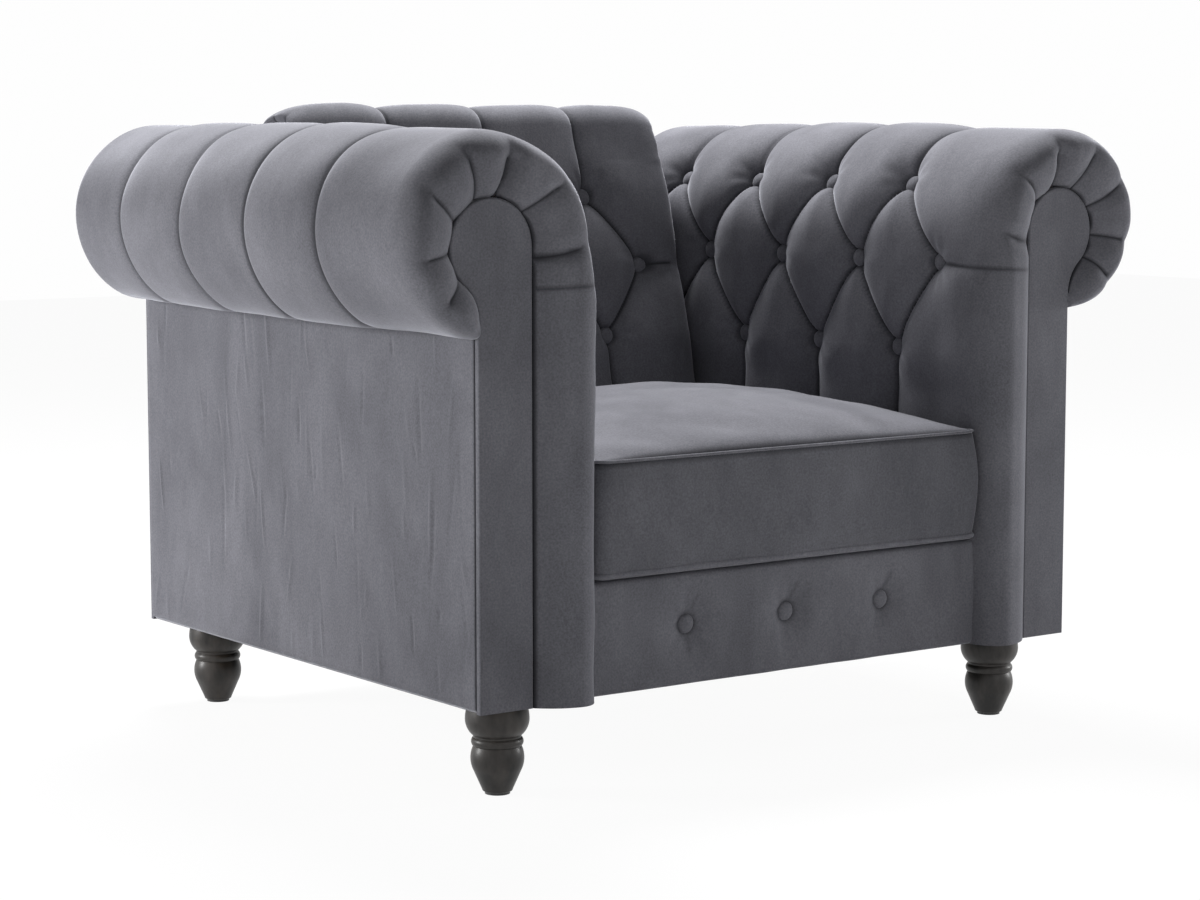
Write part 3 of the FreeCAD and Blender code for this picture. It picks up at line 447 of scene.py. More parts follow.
frameEnd = -math.acos((panelHigh.x - armHead[0]) / armFrameR)
waistZ = armHead[1] + armFrameR * math.sin(frameEnd) + arm["waistGap"]
waistReach, waistDrop = panelHigh.x - armHead[0], armHead[1] - waistZ
waistR = (waistReach**2 + waistDrop**2 - armHeadR**2) / (2 * (armHeadR - waistReach))
waist = (panelHigh.x + waistR, waistZ)
neckAngle = math.atan2(-waistDrop, waistReach + waistR)
noseY, facingY = padLow.y, facingLow.y
noseStart = noseY + arm["noseLength"]
padRear = padHigh.y
rearFlat = padRear - arm["rearLength"]


def armCrown(s):
    # the cover's section: up the column, over its inner turn and round the roll
    inner = math.pi - (s - armStraight) / armInnerR
    outer = math.pi / 2 - (s - armStraight - armInner) / arm["rollRadius"]
    low, mid = s <= armStraight, s <= armStraight + armInner
    x = np.where(low, armInX, np.where(
        mid, armRoll[0] + armInnerR * np.cos(inner), armRoll[0] + arm["rollRadius"] * np.cos(outer)))
    z = np.where(low, armFoot + s, np.where(
        mid, armInnerZ + armInnerR * np.sin(inner), armRoll[1] + arm["rollRadius"] * np.sin(outer)))
    return x, z


def armEdge(s, x, z):
    # the facing's edge that each row is drawn to, and its angle round the facing's head
    angle = np.arctan2(z - armHead[1], x - armHead[0])
    endX, endZ = armCrown(np.array([armRun]))
    lastAngle = math.atan2(endZ[0] - armHead[1], endX[0] - armHead[0])
    t = np.clip((neckAngle - angle) / (neckAngle - lastAngle), 0, 1)
    swing = neckAngle * (1 - t) + math.pi
    onColumn = (z < armHead[1]) & (s < armStraight + armInner)
    under = (angle < neckAngle) & ~onColumn
    edgeX = np.where(onColumn, facingLow.x, np.where(
        under, waist[0] + waistR * np.cos(swing), armHead[0] + armHeadR * np.cos(angle)))
    edgeZ = np.where(onColumn, z, np.where(
        under, waist[1] + waistR * np.sin(swing), armHead[1] + armHeadR * np.sin(angle)))
    return edgeX, edgeZ, np.where(onColumn, math.pi, angle)


def armRowAt(height):
    if height <= armInnerZ:
        return height - armFoot
    return armStraight + armInnerR * math.asin((height - armInnerZ) / armInnerR)


firstY = facingY + arm["firstButton"]
evenYs = [firstY + arm["pitch"] * (k + 0.5) for k in range(4)]
oddYs = [firstY + arm["pitch"] * k for k in range(5)]
armRows = [armRowAt(arm[k]) for k in ("lowerRow", "middleRow", "upperRow")]
armButtons = (
    [(y, armRows[0]) for y in evenYs[:3]] + [(y, armRows[1]) for y in oddYs[:4]]
    + [(y, armRows[2]) for y in evenYs]
)


def armPleats():
    over, under, mid = arm["overPleat"], arm["underPleat"], armRows[1]
    lines = buttonedPleats(evenYs, oddYs, armRows, armFoot, armRun, over, under)
    return lines + [(oddYs[0], mid, noseStart - arm["noseUnroll"], mid, *arm["seamPleat"])]


def armRays():
    line = np.linspace(armStraight, armRun, arm["raySamples"])
    height, bend = arm["seamRay"]
    return rayRows(arm, line, armEdge(line, *armCrown(line))[2]) + [(armRowAt(height), bend, 1.0)]


def armSheet(name, side, seed):
    obj, u, v = clothGrid(name, arm["across"], arm["along"])
    s = np.minimum(v / (1 - arm["hemShare"]), 1) * armRun
    hem = np.clip((v - 1) / arm["hemShare"] + 1, 0, 1)
    noseAt = 1 - arm["noseShare"]
    t = np.clip((u - noseAt) / arm["noseShare"], 0, 1)
    onNose, onRear = u > noseAt, u < arm["rearShare"]
    corner = np.clip(u / arm["rearShare"], 0, 1) * math.pi / 2
    flatShare = np.clip((u - arm["rearShare"]) / (noseAt - arm["rearShare"]), 0, 1)
    reach = rearFlat + (noseStart - rearFlat) * flatShare - t * arm["noseUnroll"]
    stepA = (rearFlat - noseStart) / ((noseAt - arm["rearShare"]) * arm["across"])
    stepS = armRun / arm["along"]
    pleats = armPleats()
    reach, s = snapToPleats(reach, s, pleats, stepA, stepS)
    s, ray, rayShadeLine = gatherRays(s, t, onNose, armRays(), arm, stepS)
    cx, cz = armCrown(s)
    ex, ez = armEdge(s, cx, cz)[:2]
    run = np.maximum(np.hypot(ex - cx, ez - cz), nose["leastRun"])
    dx, dz = (ex - cx) / run, (ez - cz) / run
    proud = facingY - noseY + arm["noseProud"]
    tip = facingY - proud * fade(run, *arm["noseThin"])  # the nose thins out under the roll
    noseDepth, noseAlong, outD, outY = noseCurve(t, run, noseStart, tip, facingY, arm["nosePeak"])
    rearY = rearFlat + arm["rearLength"] * np.cos(corner)
    depth = np.where(onNose, noseDepth, arm["rearRound"] * (1 - np.sin(corner)))
    y = np.where(onNose, noseAlong, np.where(onRear, rearY, reach))
    sink, foldShade = tuftDepth(reach, s, armButtons, pleats)
    mid, top = armRows[1:]
    lift = tufting["lift"] * fade(s, tufting["liftFrom"] - armFoot, tufting["liftSoft"])
    lift = lift * (1 - fade(s - top, *arm["liftEnd"]))
    sink = (sink - lift) * (1 - arm["calmShare"] * fade(noseStart - reach, *arm["noseCalm"]))
    rearward = np.clip((reach - noseStart) / (rearFlat - noseStart), 0, 1)
    fuller = 1 - arm["riseLess"] * fade(rearward, *arm["riseOut"])  # the roll is fuller towards the middle
    fuller = arm["rollRise"] * fade(rearward, *arm["riseIn"]) * fuller
    sink -= fuller * fade(s - top, *arm["riseTop"]) * fade(armRun - s, *arm["riseHem"])
    column = fade(noseStart - reach, *arm["columnIn"]) * (1 - fade(s - mid, *arm["columnTop"]))
    sink -= arm["columnSwell"] * column
    onHead = onNose & (s > armStraight * nose["headFrom"])
    grow = fade(t, *arm["rayGrow"]) * onHead
    # painted shade along the ray pleats and where the cover tucks in at the facing
    foldShade = np.maximum(foldShade, arm["rayShade"] * rayShadeLine * fade(t, *arm["rayDark"]) * onHead)
    foldShade = np.maximum(foldShade, fade(t, *nose["edgeShade"]))
    dimples = arm["dimple"] * ripple(reach, s, seed, arm["dimpleSize"])
    push = sink + ray * grow * arm["rayDepth"] + dimples
    push = np.where(onRear, push * np.sin(corner), push)  # drawn in to the rear facing
    push = np.where(onNose & (push < 0), push * (1 - fade(t, *arm["swellOut"])), push)
    depth = depth + np.where(onNose, -np.minimum(outD, 0) * push, push)
    y = y - np.where(onNose, outY * push, 0)
    # rays end at the facing's edge
    y = np.where(t > nose["crest"], np.minimum(y, facingY + nose["tuck"]), y)
    sag = arm["rollSag"] * (1 - rearward) * fade(s - armRun, *arm["sagHem"]) * (1 - fade(t, *arm["sagOut"]))
    forward = np.clip((oddYs[0] - reach) / (oddYs[0] - noseStart + arm["noseUnroll"]), 0, 1)
    sag = sag + arm["seamDrop"] * forward * np.exp(-(((s - mid) / arm["seamWidth"]) ** 2))
    tuckX, tuckY, tuckZ = arm["hemTuck"]
    x = cx + dx * depth - hem * tuckX
    y = y + hem * onNose * tuckY
    z = cz + dz * depth + hem * tuckZ - sag
    outX, outZ = (np.where(onNose, way * outD, -way) for way in (dx, dz))
    outward = np.column_stack([side * outX, np.where(onNose, outY, 0), outZ])
    layPoints(obj, np.column_stack([side * x, y, z]), outward, foldShade)
    # the part under the deck is left open
    railRear, deckUnder = railHigh.y + arm["railGap"], deckLow.z - arm["deckGap"]
    stripAt = padRear - arm["rearStrip"]
    dropFaces(obj, lambda c: railRear < c.y < stripAt and c.z < deckUnder)
    return obj


for side, hand, seed in ((1, "right", 11), (-1, "left", 23)):
    pad = armSheet(hand + "ArmTufting", side, seed)
    dress(pad, "velvet", "chair", hand + "_arm_pad")
print("arms tufted")

# the pairs in the last two lines are fades here too
back = dict(
    leanLow=(0.140, 0.250), leanMid=(0.190, 0.490), leanHigh=(0.249, 0.690),
    topRadius=0.042, rollRadius=0.093, headRadius=0.050, headRear=0.020, headDrop=0.081,
    wrap=0.0014, tiltRun=0.120, endDraw=0.005,
    noseDepth=0.018, noseLength=0.068, nosePeak=0.55, noseUnroll=0.09,
    pitch=0.155, lowerRow=0.491, middleRow=0.589, upperRow=0.6875, across=250, along=250, noseShare=0.14,
    overPleat=(0.9, 0.16, 0.9), underPleat=(0.9, 0.5, 0.9), sidePleat=(0.9, 0.5, 0.9), sideReach=0.02,
    rayPleats=(172, 140, 112, 84, 50, 15, -20), rayDepth=0.003, rayWidth=0.024, rayNarrow=0.4, rayShade=0.9,
    rayBend=0.008, raySway=(1.7, 0.0), raySamples=2000, deepRays={},
    dimple=0.0010, dimpleSize=0.15, calmShare=0.6,
    noseCalm=(-0.01, 0.05), liftEnd=(0, 0.08), topIn=(-0.08, 0.06),
    rayGrow=(0.15, 0.45), rayDark=(0.25, 0.25),
)


def circleThrough(a, b, c):
    d = 2 * (a[0] * (b[1] - c[1]) + b[0] * (c[1] - a[1]) + c[0] * (a[1] - b[1]))
    sa, sb, sc = (p[0] ** 2 + p[1] ** 2 for p in (a, b, c))
    cy = (sa * (b[1] - c[1]) + sb * (c[1] - a[1]) + sc * (a[1] - b[1])) / d
    cz = (sa * (c[0] - b[0]) + sb * (a[0] - c[0]) + sc * (b[0] - a[0])) / d
    return (cy, cz), math.hypot(a[0] - cy, a[1] - cz)


lean, leanR = circleThrough(back["leanLow"], back["leanMid"], back["leanHigh"])
backTopZ = backHigh.z - back["topRadius"]
crestY = lean[0] - math.sqrt((leanR - back["topRadius"]) ** 2 - (backTopZ - lean[1]) ** 2)
tangent = math.atan2(backTopZ - lean[1], crestY - lean[0])
tangentZ = lean[1] + leanR * math.sin(tangent)
turnAngle = tangent % (2 * math.pi)
backRoll = (crestY, backHigh.z - back["rollRadius"])
backHead = (crestY + back["headRear"], backHigh.z - back["headDrop"])
backPanelY = backPanelHigh.y
backFoot = backLow.z
lowerRun = tangentZ - backFoot
turnRun = back["topRadius"] * (turnAngle - math.pi / 2)
backRollEnd = -math.acos((backPanelY - backRoll[0]) / back["rollRadius"])
backFrameR = back["headRadius"] + back["wrap"]
backFrameEnd = -math.acos((backPanelY - backHead[0]) / backFrameR)
backRun = lowerRun + turnRun + back["rollRadius"] * (math.pi / 2 - backRollEnd)
backHalf = backHigh.x - back["endDraw"]
backFlat = backHalf - back["noseLength"]
boardFoot = boardLow.y


def backCrown(s):
    # the cover's section: up the leaning front, over the top and round the roll behind
    z1 = backFoot + s
    y1 = lean[0] - np.sqrt(np.maximum(leanR**2 - (z1 - lean[1]) ** 2, 0))
    a2 = turnAngle - (s - lowerRun) / back["topRadius"]
    a3 = math.pi / 2 - (s - lowerRun - turnRun) / back["rollRadius"]
    low, mid = s <= lowerRun, s <= lowerRun + turnRun
    y = np.where(low, y1, np.where(
        mid, crestY + back["topRadius"] * np.cos(a2), backRoll[0] + back["rollRadius"] * np.cos(a3)))
    z = np.where(low, z1, np.where(
        mid, backTopZ + back["topRadius"] * np.sin(a2), backRoll[1] + back["rollRadius"] * np.sin(a3)))
    return y, z


def backFrame(s, y, z):
    # the frame's edge that each row is drawn to, and its angle round the frame's head
    slope = (backHead[0] - back["headRadius"] - boardFoot) / (backHead[1] - backFoot)
    boardY = boardFoot + slope * (z - backFoot)
    tilt = np.minimum(1, s / back["tiltRun"]) * np.arcsin(np.clip((z - lean[1]) / leanR, -1, 1))
    run = (boardY - y) / (np.cos(tilt) + slope * np.sin(tilt))
    angle = np.arctan2(z - backHead[1], y - backHead[0])
    crestAngle = math.atan2(backHigh.z - backHead[1], crestY - backHead[0])
    endY, endZ = backCrown(np.array([backRun]))
    lastAngle = math.atan2(endZ[0] - backHead[1], endY[0] - backHead[0])
    t = np.clip((crestAngle - angle) / (crestAngle - lastAngle), 0, 1)
    swing = np.where(angle >= crestAngle, angle, crestAngle + (backFrameEnd - crestAngle) * t)
    onBoard = (z < backHead[1]) & (s < lowerRun)
    frameY = np.where(onBoard, y + run * np.cos(tilt), backHead[0] + backFrameR * np.cos(swing))
    frameZ = np.where(onBoard, z - run * np.sin(tilt), backHead[1] + backFrameR * np.sin(swing))
    return frameY, frameZ, np.where(onBoard, math.pi, angle)


evenXs = [-back["pitch"], 0.0, back["pitch"]]
oddXs = [back["pitch"] * (k - 1.5) for k in range(4)]
backRows = [back[k] - backFoot for k in ("lowerRow", "middleRow", "upperRow")]
backButtons = (
    [(x, backRows[0]) for x in evenXs] + [(x, backRows[1]) for x in oddXs]
    + [(x, backRows[2]) for x in evenXs]
)


def backPleats():
    over, under, mid = back["overPleat"], back["underPleat"], backRows[1]
    lines = buttonedPleats(evenXs, oddXs, backRows, backFoot, backRun, over, under)
    for way, x in ((-1, oddXs[0]), (1, oddXs[-1])):
        lines.append((x, mid, way * (backFlat + back["sideReach"]), mid, *back["sidePleat"]))
    return lines


def backRays():
    line = np.linspace(lowerRun * nose["headFrom"], backRun, back["raySamples"])
    return rayRows(back, line, backFrame(line, *backCrown(line))[2])


def backSheet(name, seed):
    obj, u, v = clothGrid(name, back["across"], back["along"])
    s = v * backRun
    way = np.where(u < 0.5, -1.0, 1.0)
    far = np.abs(2 * u - 1)
    noseAt = 1 - 2 * back["noseShare"]
    onNose = far > noseAt
    t = np.clip((far - noseAt) / (2 * back["noseShare"]), 0, 1)
    reach = (backFlat * np.clip(far / noseAt, 0, 1) + t * back["noseUnroll"]) * way
    stepA, stepS = 2 * backFlat / (noseAt * back["across"]), backRun / back["along"]
    pleats = backPleats()
    reach, s = snapToPleats(reach, s, pleats, stepA, stepS)
    s, ray, rayShadeLine = gatherRays(s, t, onNose, backRays(), back, stepS)
    cy, cz = backCrown(s)
    fy, fz = backFrame(s, cy, cz)[:2]
    run = np.hypot(fy - cy, fz - cz)
    dy, dz = (fy - cy) / run, (fz - cz) / run
    edge = backHalf - back["noseDepth"]
    noseDepth, noseAlong, outD, outX = noseCurve(t, run, backFlat, backHalf, edge, back["nosePeak"])
    sink, foldShade = tuftDepth(reach, s, backButtons, pleats)
    lift = tufting["lift"] * fade(s, tufting["liftFrom"] - backFoot, tufting["liftSoft"])
    lift = lift * (1 - fade(s - backRows[2], *back["liftEnd"]))
    sink = (sink - lift) * (1 - back["calmShare"] * fade(np.abs(reach) - backFlat, *back["noseCalm"]))
    onTop = fade(s - lowerRun, *back["topIn"]) * onNose
    grow = fade(t, *back["rayGrow"]) * onTop
    # painted shade along the ray pleats and where the cover tucks in at the frame
    foldShade = np.maximum(foldShade, back["rayShade"] * rayShadeLine * fade(t, *back["rayDark"]) * onTop)
    foldShade = np.maximum(foldShade, fade(t, *nose["edgeShade"]))
    dimples = back["dimple"] * ripple(reach, s, seed, back["dimpleSize"])
    push = sink + ray * grow * back["rayDepth"] + dimples
    depth = np.where(onNose, noseDepth - np.minimum(outD, 0) * push, push)
    x = np.where(onNose, (noseAlong - outX * push) * way, reach)
    outY, outZ = (np.where(onNose, turn * outD, -turn) for turn in (dy, dz))
    outward = np.column_stack([np.where(onNose, outX * way, 0), outY, outZ])
    layPoints(obj, np.column_stack([x, cy + dy * depth, cz + dz * depth]), outward, foldShade)
    return obj


backTufting = backSheet("backTufting", 37)
dress(backTufting, "velvet", "chair", "back_pad")
print("back tufted")

panel = dict(
    across=400, along=90, edge=0.006, round=0.007, wrap=0.008, rearGap=0.0008, proud=0.0006, wall=0.0015,
    topSlack=0.02, seam=0.0035, seamShade=0.9, wrinkle=0.00025, wrinkleSize=0.12, wrinkleTall=0.5,
    creases=84, creaseLength=(0.02, 0.13), creaseWidth=(0.0018, 0.0042), creaseRise=(0.0004, 0.0017),
    creaseLean=0.17, creaseBend=0.6, calmEdge=(0, 0.03), calmRear=(-0.02, 0.02),
)


def creaseField(y, z, seed):
    # short folds, mostly upright
    rng = np.random.default_rng(seed)
    total = np.zeros_like(y)
    for _ in range(panel["creases"]):
        cy, cz = rng.uniform(panelLow.y, panelHigh.y), rng.uniform(panelLow.z, panelHigh.z)
        slant, bend = rng.normal(0, panel["creaseLean"]), rng.normal(0, panel["creaseBend"])
        length, width = rng.uniform(*panel["creaseLength"]), rng.uniform(*panel["creaseWidth"])
        rise = rng.uniform(*panel["creaseRise"]) * rng.choice([-1, 1])
        along = (z - cz) * math.cos(slant) + (y - cy) * math.sin(slant)
        across = (y - cy) * math.cos(slant) - (z - cz) * math.sin(slant) - bend * along**2
        ends = np.clip(1 - (2 * along / length) ** 2, 0, 1)
        total += rise * ends * np.exp(-((across / width) ** 2))
    return total


def outsidePanel(name, side, seed):
    obj, u, v = clothGrid(name, panel["across"], panel["along"])
    rearEnd, r = rearHigh.y + panel["rearGap"], panel["round"]
    flat = rearEnd - r - panelLow.y
    # along the side, round the rear edge and onto the rear
    path = u * (flat + r * math.pi / 2 + panel["wrap"])
    tall = panelHigh.z - panelLow.z
    z = panelLow.z + v * tall
    angle = np.clip((path - flat) / r, 0, math.pi / 2)
    y = panelLow.y + np.minimum(path, flat) + r * np.sin(angle)
    turned = r * (1 - np.cos(angle)) + np.maximum(path - flat - r * math.pi / 2, 0)
    toEdge = np.minimum(path, np.minimum(v * tall, (1 - v) * tall + panel["topSlack"]))
    sunk = np.clip(1 - toEdge / panel["edge"], 0, 1)
    drop = panel["edge"] * (1 - np.sqrt(np.maximum(1 - sunk**2, 0)))
    wrinkles = ripple(y, z * panel["wrinkleTall"], seed, panel["wrinkleSize"]) * panel["wrinkle"]
    relief = creaseField(y, z, seed) + wrinkles
    inside = fade(toEdge, *panel["calmEdge"]) * (1 - fade(path - flat, *panel["calmRear"]))
    x = panelHigh.x + panel["proud"] - drop * np.cos(angle) + relief * inside - turned
    y = y - drop * np.sin(angle)
    outward = np.column_stack([side * np.cos(angle), np.sin(angle), np.zeros_like(x)])
    layPoints(obj, np.column_stack([side * x, y, z]), outward, panel["seamShade"] * (path < panel["seam"]))
    wall = obj.modifiers.new("wall", "SOLIDIFY")
    wall.thickness, wall.offset = panel["wall"], -1.0
    return obj


for side, hand, seed in ((1, "right", 71), (-1, "left", 83)):
    outside = outsidePanel(hand + "OutsidePanel", side, seed)
    dress(outside, "velvet", "chair", hand + "_arm_outside_panel")
print("outside panels stretched")

rail = dict(
    across=190, along=60, edge=0.007, tuck=1.3, buttonX=0.156, buttonZ=0.185,
    pull=0.034, pullSwell=(0.25, 0.0), upperPull=(0.012, 0.3), lowerPull=(0.002, 0.15),  # slant, stitching and painted shade
    dent=0.0125, dentReach=0.030, dentSteep=1.4, dentNarrow=1.25, sinkShare=0.8,
    dimple=0.0007, dimpleSize=0.10, dimpleTall=0.5,
)
railXs = (-rail["buttonX"], 0, rail["buttonX"])


def railSheet(name, seed):
    obj, u, v = clothGrid(name, rail["across"], rail["along"])
    half, tall, turn = railHigh.x, railHigh.z - railLow.z, rail["edge"]
    x = (2 * u - 1) * half
    up = v * (tall + 2 * turn) - turn  # round the bottom edge, up the front and over the top
    z = np.clip(up, 0, tall) + railLow.z
    inset = np.maximum(np.maximum(turn - up, up - (tall - turn)), 0)
    y = railLow.y + turn - np.sqrt(np.maximum(turn**2 - np.minimum(inset, turn) ** 2, 0))
    y = y + np.maximum(inset - turn, 0) * rail["tuck"]
    buttons = [(bx, rail["buttonZ"]) for bx in railXs]
    pulls = ((rail["pull"], rail["upperPull"]), (-rail["pull"], rail["lowerPull"]))
    pleats = []
    for bx, bz in buttons:
        for rise, (slant, stitchAndShade) in pulls:
            pleats.append((bx, bz, bx + slant, bz + rise, *rail["pullSwell"], stitchAndShade))
    # the pulls and buttons also give painted shade: darker lines along the pulls and round each button
    sink, foldShade = tuftDepth(x, z, buttons, pleats)
    for bx, bz in buttons:
        off = np.hypot((x - bx) * rail["dentNarrow"], z - bz)
        sink += rail["dent"] * np.exp(-((off / rail["dentReach"]) ** rail["dentSteep"]))
    dimples = rail["dimple"] * ripple(x, z * rail["dimpleTall"], seed, rail["dimpleSize"])
    y = y + sink * rail["sinkShare"] + dimples
    layPoints(obj, np.column_stack([x, y, z]), np.tile([0, -1.0, 0], (len(x), 1)), foldShade)
    return obj


railCover = railSheet("frontRailCover", 5)
dress(railCover, "velvet", "chair", "front_rail_cover")
print("front rail covered")

button = dict(radius=0.0118, dome=0.0058, seat=0.0195, railSeat=0.0120, segments=28, rings=14)


def buttonSet(name, places, node):
    bm = bmesh.new()
    size = Matrix.Diagonal((button["radius"], button["radius"], button["dome"], 1))
    for place, outward in places:
        spin = Vector((0, 0, 1)).rotation_difference(Vector(outward)).to_matrix().to_4x4()
        bmesh.ops.create_uvsphere(
            bm, u_segments=button["segments"], v_segments=button["rings"], radius=1.0,
            matrix=Matrix.Translation(Vector(place)) @ spin @ size)
    obj = fromBmesh(name, bm)
    return dress(obj, "velvet", "chair", node)


def buttonSeat(crown, edge, row):
    # where a button sits in one row of a cover, and the way in from there
    row = np.array([row])
    a, z = crown(row)
    edgeA, edgeZ = edge(row, a, z)[:2]
    way = np.array([edgeA[0] - a[0], edgeZ[0] - z[0]])
    way /= np.linalg.norm(way)
    return a[0] + way[0] * button["seat"], z[0] + way[1] * button["seat"], way


for side, hand in ((1, "right"), (-1, "left")):
    places = []
    for y, row in armButtons:
        x, z, way = buttonSeat(armCrown, armEdge, row)
        places.append(((side * x, y, z), (-side * way[0], 0, -way[1])))
    buttonSet(hand + "ArmButtons", places, hand + "_arm_buttons")
places = []
for x, row in backButtons:
    y, z, way = buttonSeat(backCrown, backFrame, row)
    places.append(((x, y, z), (0, -way[0], -way[1])))
buttonSet("backButtons", places, "back_buttons")
places = [((x, railLow.y + button["railSeat"], rail["buttonZ"]), (0, -1, 0)) for x in railXs]
buttonSet("railButtons", places, "front_rail_buttons")
print("buttons set")

cushion = dict(
    step=0.009, cornerRadius=0.014, crown=0.056, domeShare=0.75, domeFlat=0.55, fillShare=0.94,
    bulge=0.004, spread=0.002, cornerBulge=0.007, cornerFade=(0.80, 0.18), lip=0.003, lipFrom=0.9,
    pressure=4.0, frames=20, quality=5, stiffness=15, quickFlat=2.6, quickSide=9,
    wrinkle=0.0012, wrinkleSize=0.13, wrinkleRim=12, sideWrinkle=0.7, seed=61,
    seamShade=0.9, sideShade=0.24, weltRadius=0.0042, topWelt=0.45,
)


def cushionForm(name):
    low = Vector((coverLow.x + cushion["bulge"], coverLow.y + cushion["bulge"], coverLow.z))
    high = Vector((
        coverHigh.x - cushion["bulge"], coverHigh.y - cushion["bulge"], coverHigh.z - cushion["crown"]))
    size, middle = high - low, (low + high) / 2
    bm = bmesh.new()
    bmesh.ops.create_cube(bm, size=1.0, matrix=Matrix.Translation(middle) @ Matrix.Diagonal((*size, 1)))
    for axis in range(3):
        count = max(2, int(size[axis] / cushion["step"]))
        normal = Vector([1.0 if k == axis else 0.0 for k in range(3)])
        for k in range(1, count):
            place = low.copy()
            place[axis] = low[axis] + size[axis] * k / count
            geom = bm.verts[:] + bm.edges[:] + bm.faces[:]
            bmesh.ops.bisect_plane(bm, geom=geom, plane_co=place, plane_no=normal)
    bmesh.ops.recalc_face_normals(bm, faces=bm.faces[:])
    obj = fromBmesh(name, bm)
    half, r = np.array(size) / 2, cushion["cornerRadius"]
    local = readPoints(obj) - np.array(middle)
    over = np.maximum(np.abs(local[:, :2]) - (half[:2] - r), 0)
    reach = np.maximum(np.hypot(over[:, 0], over[:, 1]), 1e-9)
    inCorner = (over[:, 0] > 0) & (over[:, 1] > 0)
    scale = np.where(inCorner, over.max(axis=1) / reach, 1.0)
    rounded = np.sign(local[:, :2]) * (half[:2] - r + over * scale[:, None])
    plan = np.where(inCorner[:, None], rounded, local[:, :2])
    rim = np.maximum(np.abs(local[:, 0]) / half[0], np.abs(local[:, 1]) / half[1])
    return obj, np.column_stack([plan, local[:, 2]]), half, np.array(middle), rim


def inflate(obj, pinned):
    group = obj.vertex_groups.new(name="seams")
    group.add([int(i) for i in np.nonzero(pinned)[0]], 1.0, "REPLACE")
    cloth = obj.modifiers.new("fill", "CLOTH")
    made = cloth.settings
    made.quality = cushion["quality"]
    made.vertex_group_mass = "seams"
    made.use_pressure = True
    made.uniform_pressure_force = cushion["pressure"]
    made.effector_weights.gravity = 0.0
    made.tension_stiffness = made.compression_stiffness = cushion["stiffness"]
    cloth.collision_settings.use_collision = False
    scene = bpy.context.scene
    cloth.point_cache.frame_start, cloth.point_cache.frame_end = 1, cushion["frames"]
    for k in range(1, cushion["frames"] + 1):
        scene.frame_set(k)
    moved = readPoints(obj.evaluated_get(bpy.context.evaluated_depsgraph_get()))
    obj.modifiers.remove(cloth)
    scene.frame_set(1)
    return moved


def cushionCover(name):
    obj, local, half, middle, rim = cushionForm(name)
    onRim = rim > 0.9999
    top, bottom = local[:, 2] > half[2] - 1e-6, local[:, 2] < -half[2] + 1e-6
    belly = 1 - (local[:, 2] / half[2]) ** 2  # fullest half way up the side
    start = local + middle
    setPoints(obj, start)
    pinned = bottom | (top & onRim)
    swell = inflate(obj, pinned) - start
    rise = swell[top & ~onRim, 2].max()
    swell[:, 2] *= np.where(top, cushion["crown"] * cushion["fillShare"] / rise, 1.0)
    aside = np.abs(swell[onRim][:, :2]).max()
    swell[:, :2] *= np.where(onRim, (cushion["bulge"] + cushion["spread"]) / aside, 1.0)[:, None]
    spread = 1 - (local[:, :2] / half[:2]) ** 2
    dome = cushion["crown"] * np.clip(spread[:, 0] * spread[:, 1], 0, 1) ** cushion["domeFlat"]
    share = cushion["domeShare"]
    swell[:, 2] = np.where(top, (1 - share) * swell[:, 2] + share * dome, swell[:, 2])
    points = start + swell
    waves = ripple(points[:, 0], points[:, 1] + points[:, 2], cushion["seed"], cushion["wrinkleSize"])
    creasing = cushion["wrinkle"] * waves
    points[:, 2] += np.where(top, creasing * np.clip((1 - rim) * cushion["wrinkleRim"], 0, 1), 0)
    points[:, 1] += np.where(onRim & ~top & ~bottom, creasing * cushion["sideWrinkle"], 0)
    toCorner = (np.abs(local[:, :2]) / half[:2]).min(axis=1)
    atCorner = fade(toCorner, *cushion["cornerFade"]) * onRim * belly
    points[:, :2] += np.sign(local[:, :2]) * (atCorner * cushion["cornerBulge"])[:, None]
    lip = bottom & (local[:, 1] < -cushion["lipFrom"] * half[1])  # clear of the rail in front
    points[:, 2] += np.where(lip, cushion["lip"], 0)
    points[:, 2] = np.minimum(points[:, 2], coverHigh.z)
    wide = np.array([cushion["spread"], cushion["spread"], 0])
    points = np.clip(points, np.array(coverLow) - wide, np.array(coverHigh) + wide)
    setPoints(obj, points)
    markPaintedShade(obj, np.where(onRim, np.where(top, cushion["seamShade"], cushion["sideShade"]), 0))
    rings = {}
    for key, level in (("top", top), ("bottom", bottom)):
        ring = points[level & onRim]
        order = np.argsort(np.arctan2(ring[:, 1] - middle[1], ring[:, 0] - middle[0]))
        rings[key] = ring[order]
    return obj, rings


def welt(name, ring, radius):
    line = bpy.data.curves.new(name, "CURVE")
    line.dimensions = "3D"
    line.bevel_depth = radius
    line.bevel_resolution = 2
    path = line.splines.new("POLY")
    path.points.add(len(ring) - 1)
    path.points.foreach_set("co", np.column_stack([ring, np.ones(len(ring))]).ravel())
    path.use_cyclic_u = True
    holder = newObject(name, line)
    mesh = bpy.data.meshes.new_from_object(holder.evaluated_get(bpy.context.evaluated_depsgraph_get()))
    bpy.data.objects.remove(holder)
    return dress(newObject(name, mesh), "velvet", "seat_cushion")


seatCushion, seamRings = cushionCover("seatCushion")
dress(seatCushion, "velvet", "seat_cushion", "cushion_cover", "cushion_core")
soften = seatCushion.modifiers.new("soften", "SUBSURF")
soften.levels = soften.render_levels = 1
lowRing = seamRings["bottom"] + np.array([0, 0, cushion["weltRadius"]])
welt("cushionTopWelt", seamRings["top"], cushion["weltRadius"] * cushion["topWelt"])
welt("cushionLowWelt", lowRing, cushion["weltRadius"])
print("seat cushion filled")

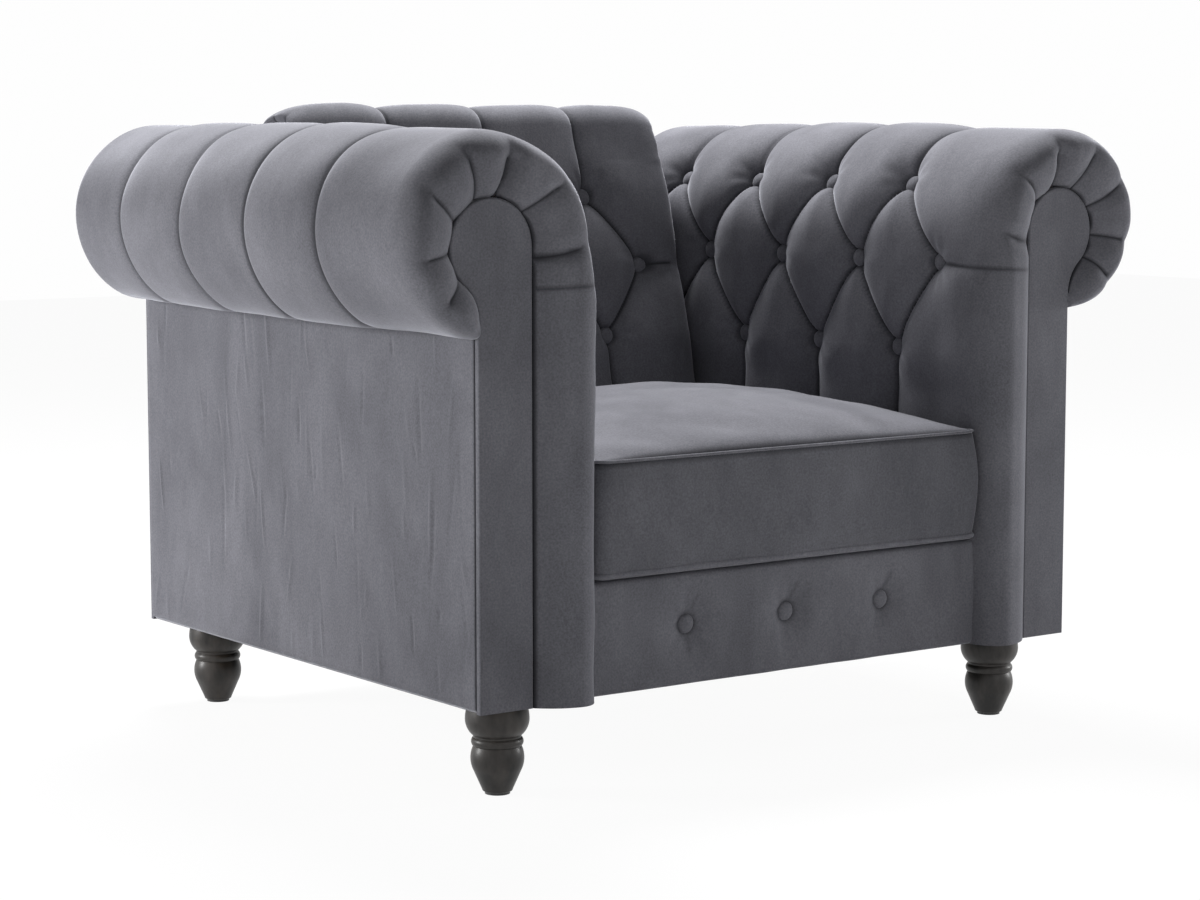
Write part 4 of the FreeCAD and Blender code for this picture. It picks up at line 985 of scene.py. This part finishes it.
# carried-over pieces keep their shape and take a finish by a word in their name
slots = {
    "velvet": ("facing", "panel", "buttons", "pad", "rail_cover", "cushion_cover"),
    "dark_wood": ("_foot",), "zinc_steel": ("bolts", "plates", "washers", "springs", "clips"),
    "glide_plastic": ("glides",), "paper_tube": ("tube",), "foam": ("core",), "deck_cloth": ("seat_deck",),
    "dust_cloth": ("dust_cover",),
}


def finishFor(node):
    for finish, words in slots.items():
        if any(word in node for word in words):
            return finish
    return "frame_wood"


for name, obj in nodes.items():
    paint(obj, finishFor(name))
print("carried-over pieces finished")

stage = dict(
    floor=0.9, floorSize=9.0, floorRough=0.95, glow=0.95, backdrop=0.99, ambient=0.190,
    lamps=(  # name, place, aim, size, power
        ("keyLamp", (-3.1, 1.9, 1.1), (0, 0, 0.45), 0.9, 90.0),
        ("fillLamp", (3.9, -1.1, 1.1), (0, 0, 0.45), 1.0, 60.0),
        ("frontLamp", (0.4, -3.4, 1.5), (0, 0, 0.45), 1.6, 6.0),
        ("topLamp", (0.55, 1.45, 3.3), (0, 0, 0.4), 1.6, 232.0),
    ),
)


def backgroundRays(tree):
    # rays that see the pale background: from the camera, mirrored or through glass
    path = tree.nodes.new("ShaderNodeLightPath")
    seen = path.outputs["Is Camera Ray"]
    for ray in ("Is Glossy Ray", "Is Transmission Ray"):
        either = tree.nodes.new("ShaderNodeMath")
        either.operation = "MAXIMUM"
        join(tree, seen, either, 0)
        join(tree, path.outputs[ray], either, 1)
        seen = either.outputs[0]
    return seen


def mixShaders(tree, factor, first, second, out):
    mix = tree.nodes.new("ShaderNodeMixShader")
    for index, output in enumerate((factor, first.outputs[0], second.outputs[0])):
        join(tree, output, mix, index)
    join(tree, mix.outputs[0], out, "Surface")


def paleFloor():
    bm = bmesh.new()
    bmesh.ops.create_grid(bm, x_segments=1, y_segments=1, size=stage["floorSize"])
    obj = fromBmesh("paleFloor", bm)
    mat, tree, skin = newMaterial("paleFloorPaint")
    level = stage["floor"]
    socket(skin, "Base Color", (level, level, level, 1))
    socket(skin, "Roughness", stage["floorRough"])
    socket(skin, "Specular IOR Level", 0.0)
    glow = tree.nodes.new("ShaderNodeEmission")
    socket(glow, "Strength", 1.0)
    part = tree.nodes.new("ShaderNodeMath")
    part.operation = "MULTIPLY"
    socket(part, 1, stage["glow"])
    join(tree, backgroundRays(tree), part, 0)
    mixShaders(tree, part.outputs[0], skin, glow, tree.nodes["Material Output"])
    obj.data.materials.append(mat)
    return obj


def studioWorld():
    world = bpy.data.worlds.new("paleRoom")
    bpy.context.scene.world = world
    world.use_nodes = True
    tree = world.node_tree
    dim, white = tree.nodes["Background"], tree.nodes.new("ShaderNodeBackground")
    for light, strength in ((dim, stage["ambient"]), (white, stage["backdrop"])):
        socket(light, "Color", (1, 1, 1, 1))
        socket(light, "Strength", strength)
    mixShaders(tree, backgroundRays(tree), dim, white, tree.nodes["World Output"])


def softLamp(name, place, aim, size, power):
    light = bpy.data.lights.new(name, "AREA")
    light.shape = "DISK"
    light.size = size
    light.energy = power
    obj = newObject(name, light)
    obj.location = place
    obj.rotation_euler = (Vector(aim) - Vector(place)).to_track_quat("-Z", "Y").to_euler()


paleFloor()
studioWorld()
for lamp in stage["lamps"]:
    softLamp(*lamp)

camera = dict(place=(-2.26024, -3.09793, 0.78237), tip=6.4146, turn=-36.025, lens=86.389, sensor=36.0)
lensData = bpy.data.cameras.new("photoCamera")
lensData.lens, lensData.sensor_width = camera["lens"], camera["sensor"]
lensData.sensor_fit = "HORIZONTAL"
shot = newObject("photoCamera", lensData)
shot.location = camera["place"]
shot.rotation_euler = (math.radians(90 - camera["tip"]), 0, math.radians(camera["turn"]))
bpy.context.scene.camera = shot
bpy.context.scene.view_settings.view_transform = "Standard"
